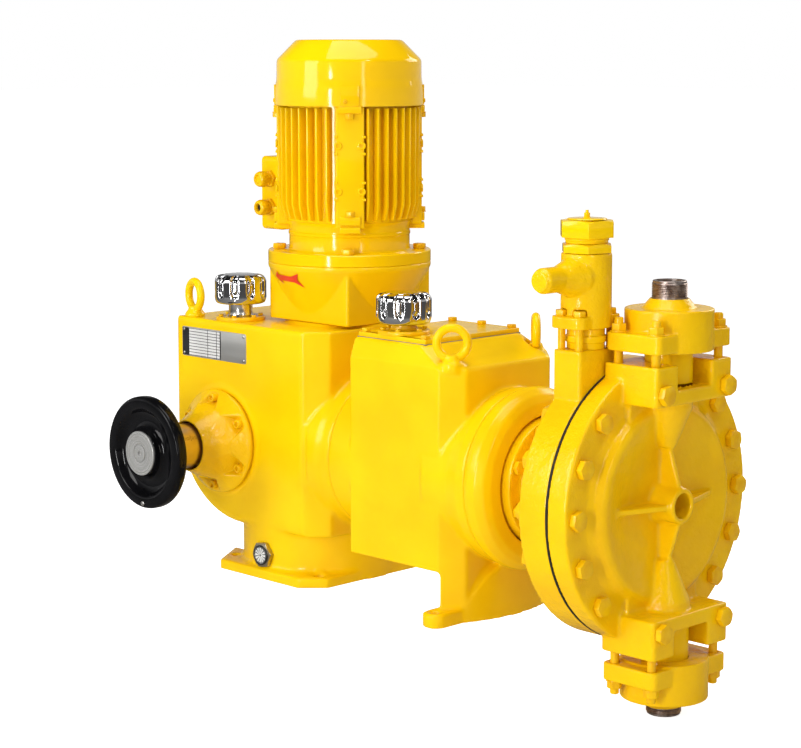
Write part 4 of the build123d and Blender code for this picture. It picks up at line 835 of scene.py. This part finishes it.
# Painted turning arrow, laid on the lantern where its face runs into the round top.
def makeArrow(d):
    shape = outlined([(0, 10.5), (14, 19), (13, 14.5), (44, 13.5), (60, 18.5), (54, 9.5), (62, -1), (46, 5.5),
                      (16, 6.5), (19, 1)], 0.1)
    cuts = [((x, 0, 0), (1, 0, 0)) for x in range(4, 62, 4)]
    cuts += [((0, y, 0), (0, 1, 0)) for y in range(1, 18, 4)]
    for place, normal in cuts:
        everything = shape.verts[:] + shape.edges[:] + shape.faces[:]
        bmesh.ops.bisect_plane(shape, geom=everything, plane_co=place, plane_no=normal)
    bmesh.ops.triangulate(shape, faces=shape.faces)
    for vert in shape.verts:
        x, z, lift = d["x0"] + d["stretch"] * vert.co.x, d["z0"] + 1.1 * vert.co.y, vert.co.z
        part = (z - d["coneFoot"]) / (d["coneTop"] - d["coneFoot"])
        radius = d["half"] + part * (d["flange"] - d["half"])
        out = max(d["half"], math.sqrt(max(0.0, radius ** 2 - (x - motorAxis[0]) ** 2)))
        vert.co = (x, motorAxis[1] - out - 1.5 - lift, z)
    bmesh.ops.recalc_face_normals(shape, faces=shape.faces)
    finishPiece("rotationArrow", shape, "pump_body", "arrowRed")


# Seam under the reservoir lid, and a near-black band between the diaphragm flanges that is painted shade for
# the dark gap there.
def makeGasket():
    seam = bmesh.new()
    put(seam, block(193.4, 331.4, plungerY - 99.4, plungerY + 99.4, 387.2, 388.6, 0.3))
    finishPiece("reservoirGasket", seam, "pump_body", "gasket")
    rim = bmesh.new()
    put(rim, turned([(176, 635.4), (189.95, 635.4), (189.95, 639.0), (176, 639.0)], 200, 0.4),
        move(0, plungerY, axisHeight) @ towardHead)
    finishPiece("diaphragmGapShade", rim, "pump_body", "paintedGapShade")


makePlate(plate)
makeArrow(arrow)
makeGasket()


# Pipe stubs with ridged threads, the lower one shorter.
def makeStubs():
    pitch = 25.4 / 11
    stubs = bmesh.new()
    for side, length in ((Matrix(), 22.0), (belowAxis, 10.0)):
        base = side @ move(valveX, plungerY, 0)
        put(stubs, turned([(18, 428.3), (32, 428.3), (32, 432.8), (23.5, 432.8), (23.5, 477),
                           (18, 477)], 72), base)
        profile = [(18, 477), (22.6, 477)]
        turns = int((length - 1.4) / pitch)
        for i in range(turns):
            z = 477.4 + i * pitch
            profile += [(22.5, z), (23.8, z + pitch * 0.42), (23.8, z + pitch * 0.55),
                        (22.5, z + pitch * 0.97)]
        profile += [(22.5, 477 + length - 0.6), (21.8, 477 + length), (18, 477 + length)]
        put(stubs, turned(profile, 96), base)
    finishPiece("pipeStubs", stubs, "pump_body", "threadSteel", ["pipe_nipples"], 25)


# Collar, neck, hexagon hood and vent stud of the relief valve.
def makeReliefCap():
    base = move(*reliefAxis, 536)
    cap = bmesh.new()
    put(cap, turned([(9, -14), (21.9, -14), (21.9, 0.3), (9, 0.3)], 48), base)
    collar = hexHead(62, 13, 1.0)
    put(cap, collar, base @ move(0, 0, 0.8) @ turnZ(14))
    put(cap, turned([(0, 13), (28, 13), (28, 16), (29, 17.2), (29, 19.4), (27.6, 20.6), (0, 20.6)], 64,
                    0.5), base)
    hood = hexHead(67, 23, 0.8)
    put(cap, hood, base @ move(0, 0, 21) @ turnZ(14))
    put(cap, turned([(0, 19.6), (30, 19.6), (33, 21.6), (0, 21.6)], 64), base)
    put(cap, turned([(0, 44), (27, 44), (25, 45.4), (5, 45.4), (5, 47), (0, 47)], 48, 0.3), base)
    put(cap, hexHead(7.5, 6), base @ move(0, 0, 46.6))
    put(cap, turned([(0, 52), (2.2, 52), (2.2, 56), (0, 56)], 16, 0.3), base)
    piece = finishPiece("reliefHood", cap, "pump_body", "smoothEnamel", ["relief_cap"])
    bevelEdges(piece, 0.8, 30)


makeStubs()
makeReliefCap()
print("liquid end made")


# Plain floor that the camera sees white and mirrors see dimmer.
def makeStage():
    floorShape = bmesh.new()
    bmesh.ops.create_grid(floorShape, x_segments=1, y_segments=1, size=40)
    mesh = bpy.data.meshes.new("paleFloor")
    floorShape.to_mesh(mesh)
    floorShape.free()
    floor = bpy.data.objects.new("paleFloor", mesh)
    floor.location = (0, 0, cadLow.z - 0.001)
    bpy.context.scene.collection.objects.link(floor)
    material, tree, shader = newMaterial("paleFloor")
    shader.inputs["Base Color"].default_value = (0.86, 0.86, 0.86, 1)
    shader.inputs["Roughness"].default_value = 0.9
    shader.inputs["Specular IOR Level"].default_value = 0.1
    path = tree.nodes.new("ShaderNodeLightPath")
    glow = tree.nodes.new("ShaderNodeEmission")
    both = tree.nodes.new("ShaderNodeAddShader")
    level = tree.nodes.new("ShaderNodeMapRange")
    level.inputs["To Max"].default_value = 0.82
    link(tree, path, "Is Camera Ray", level, "Value")
    link(tree, level, "Result", glow, "Strength")
    dim = tree.nodes.new("ShaderNodeMixShader")
    deep = tree.nodes.new("ShaderNodeBsdfDiffuse")
    deep.inputs["Color"].default_value = (0.05, 0.05, 0.05, 1)
    share = tree.nodes.new("ShaderNodeMapRange")
    share.inputs["To Max"].default_value = 0.75
    link(tree, path, "Is Glossy Ray", share, "Value")
    link(tree, share, "Result", dim, "Fac")
    tree.links.new(shader.outputs[0], dim.inputs[1])
    tree.links.new(deep.outputs[0], dim.inputs[2])
    tree.links.new(dim.outputs[0], both.inputs[0])
    tree.links.new(glow.outputs[0], both.inputs[1])
    tree.links.new(both.outputs[0], tree.nodes["Material Output"].inputs["Surface"])
    mesh.materials.append(material)


lights = {   # place, aim, size in metres, power, colour
    "keyLeft": ((-0.9, -3.4, 1.7), (0.1, 0, 0.35), (1.5, 1.7), 55, (1, 0.99, 0.97)),
    "stripLeft": ((1.0, -3.0, 0.62), (0.3, 0.0, 0.62), (0.22, 1.3), 34, (1, 1, 1)),
    "stripRight": ((2.9, -1.1, 1.3), (0.2, 0, 0.5), (0.22, 1.6), 9, (1, 0.93, 0.84)),
    "topSoft": ((0.3, -0.2, 2.6), (0.2, 0, 0.3), (1.5, 1.5), 26, (1, 1, 1)),
    "sparkHigh": ((1.9, -0.3, 2.4), (0.6, 0, 0.3), (0.16, 0.16), 7, (1, 1, 1)),
    "backRim": ((0.4, 2.4, 1.6), (0.2, 0, 0.4), (1.4, 1.0), 22, (1, 0.94, 0.86)),
}


def makeLights():
    for name, (place, aim, size, power, colour) in lights.items():
        lamp = bpy.data.lights.new(name, "AREA")
        lamp.shape = "RECTANGLE"
        lamp.size, lamp.size_y = size
        lamp.energy = power
        lamp.color = colour
        holder = bpy.data.objects.new(name, lamp)
        holder.location = place
        holder.rotation_euler = (Vector(aim) - Vector(place)).to_track_quat("-Z", "Y").to_euler()
        bpy.context.scene.collection.objects.link(holder)
    world = bpy.data.worlds.new("paleWorld")
    world.use_nodes = True
    tree = world.node_tree
    path = tree.nodes.new("ShaderNodeLightPath")
    level = tree.nodes.new("ShaderNodeMapRange")
    level.inputs["To Min"].default_value = 0.30      # what lights the pump
    level.inputs["To Max"].default_value = 1.0       # what the camera sees
    link(tree, path, "Is Camera Ray", level, "Value")
    coordinates = tree.nodes.new("ShaderNodeTexCoord")
    parts = tree.nodes.new("ShaderNodeSeparateXYZ")
    link(tree, coordinates, "Generated", parts, "Vector")
    sky = tree.nodes.new("ShaderNodeMapRange")       # what polished faces see, dark overhead
    for socket, value in (("From Min", 0.0), ("From Max", 0.5), ("To Min", 0.62), ("To Max", 0.02)):
        sky.inputs[socket].default_value = value
    link(tree, parts, "Z", sky, "Value")
    choice = tree.nodes.new("ShaderNodeMix")
    link(tree, path, "Is Glossy Ray", choice, "Factor")
    link(tree, level, "Result", choice, "A")
    link(tree, sky, "Result", choice, "B")
    link(tree, choice, "Result", tree.nodes["Background"], "Strength")
    tree.nodes["Background"].inputs["Color"].default_value = (1, 1, 1, 1)
    bpy.context.scene.world = world


# Long lens from above the front right corner.
def makeCamera():
    lens = bpy.data.cameras.new("mainView")
    lens.lens, lens.sensor_width, lens.shift_y = 96.4, 36, -0.08
    lens.clip_start, lens.clip_end = 0.1, 100
    camera = bpy.data.objects.new("mainView", lens)
    camera.location = (2.4193, -2.2317, 0.7949)
    camera.rotation_euler = (math.radians(90 - 6.837), 0, math.radians(45.206))
    bpy.context.scene.collection.objects.link(camera)
    bpy.context.scene.camera = camera


makeStage()
makeLights()
makeCamera()
bpy.context.scene.view_settings.view_transform = "Standard"
print("scene ready")
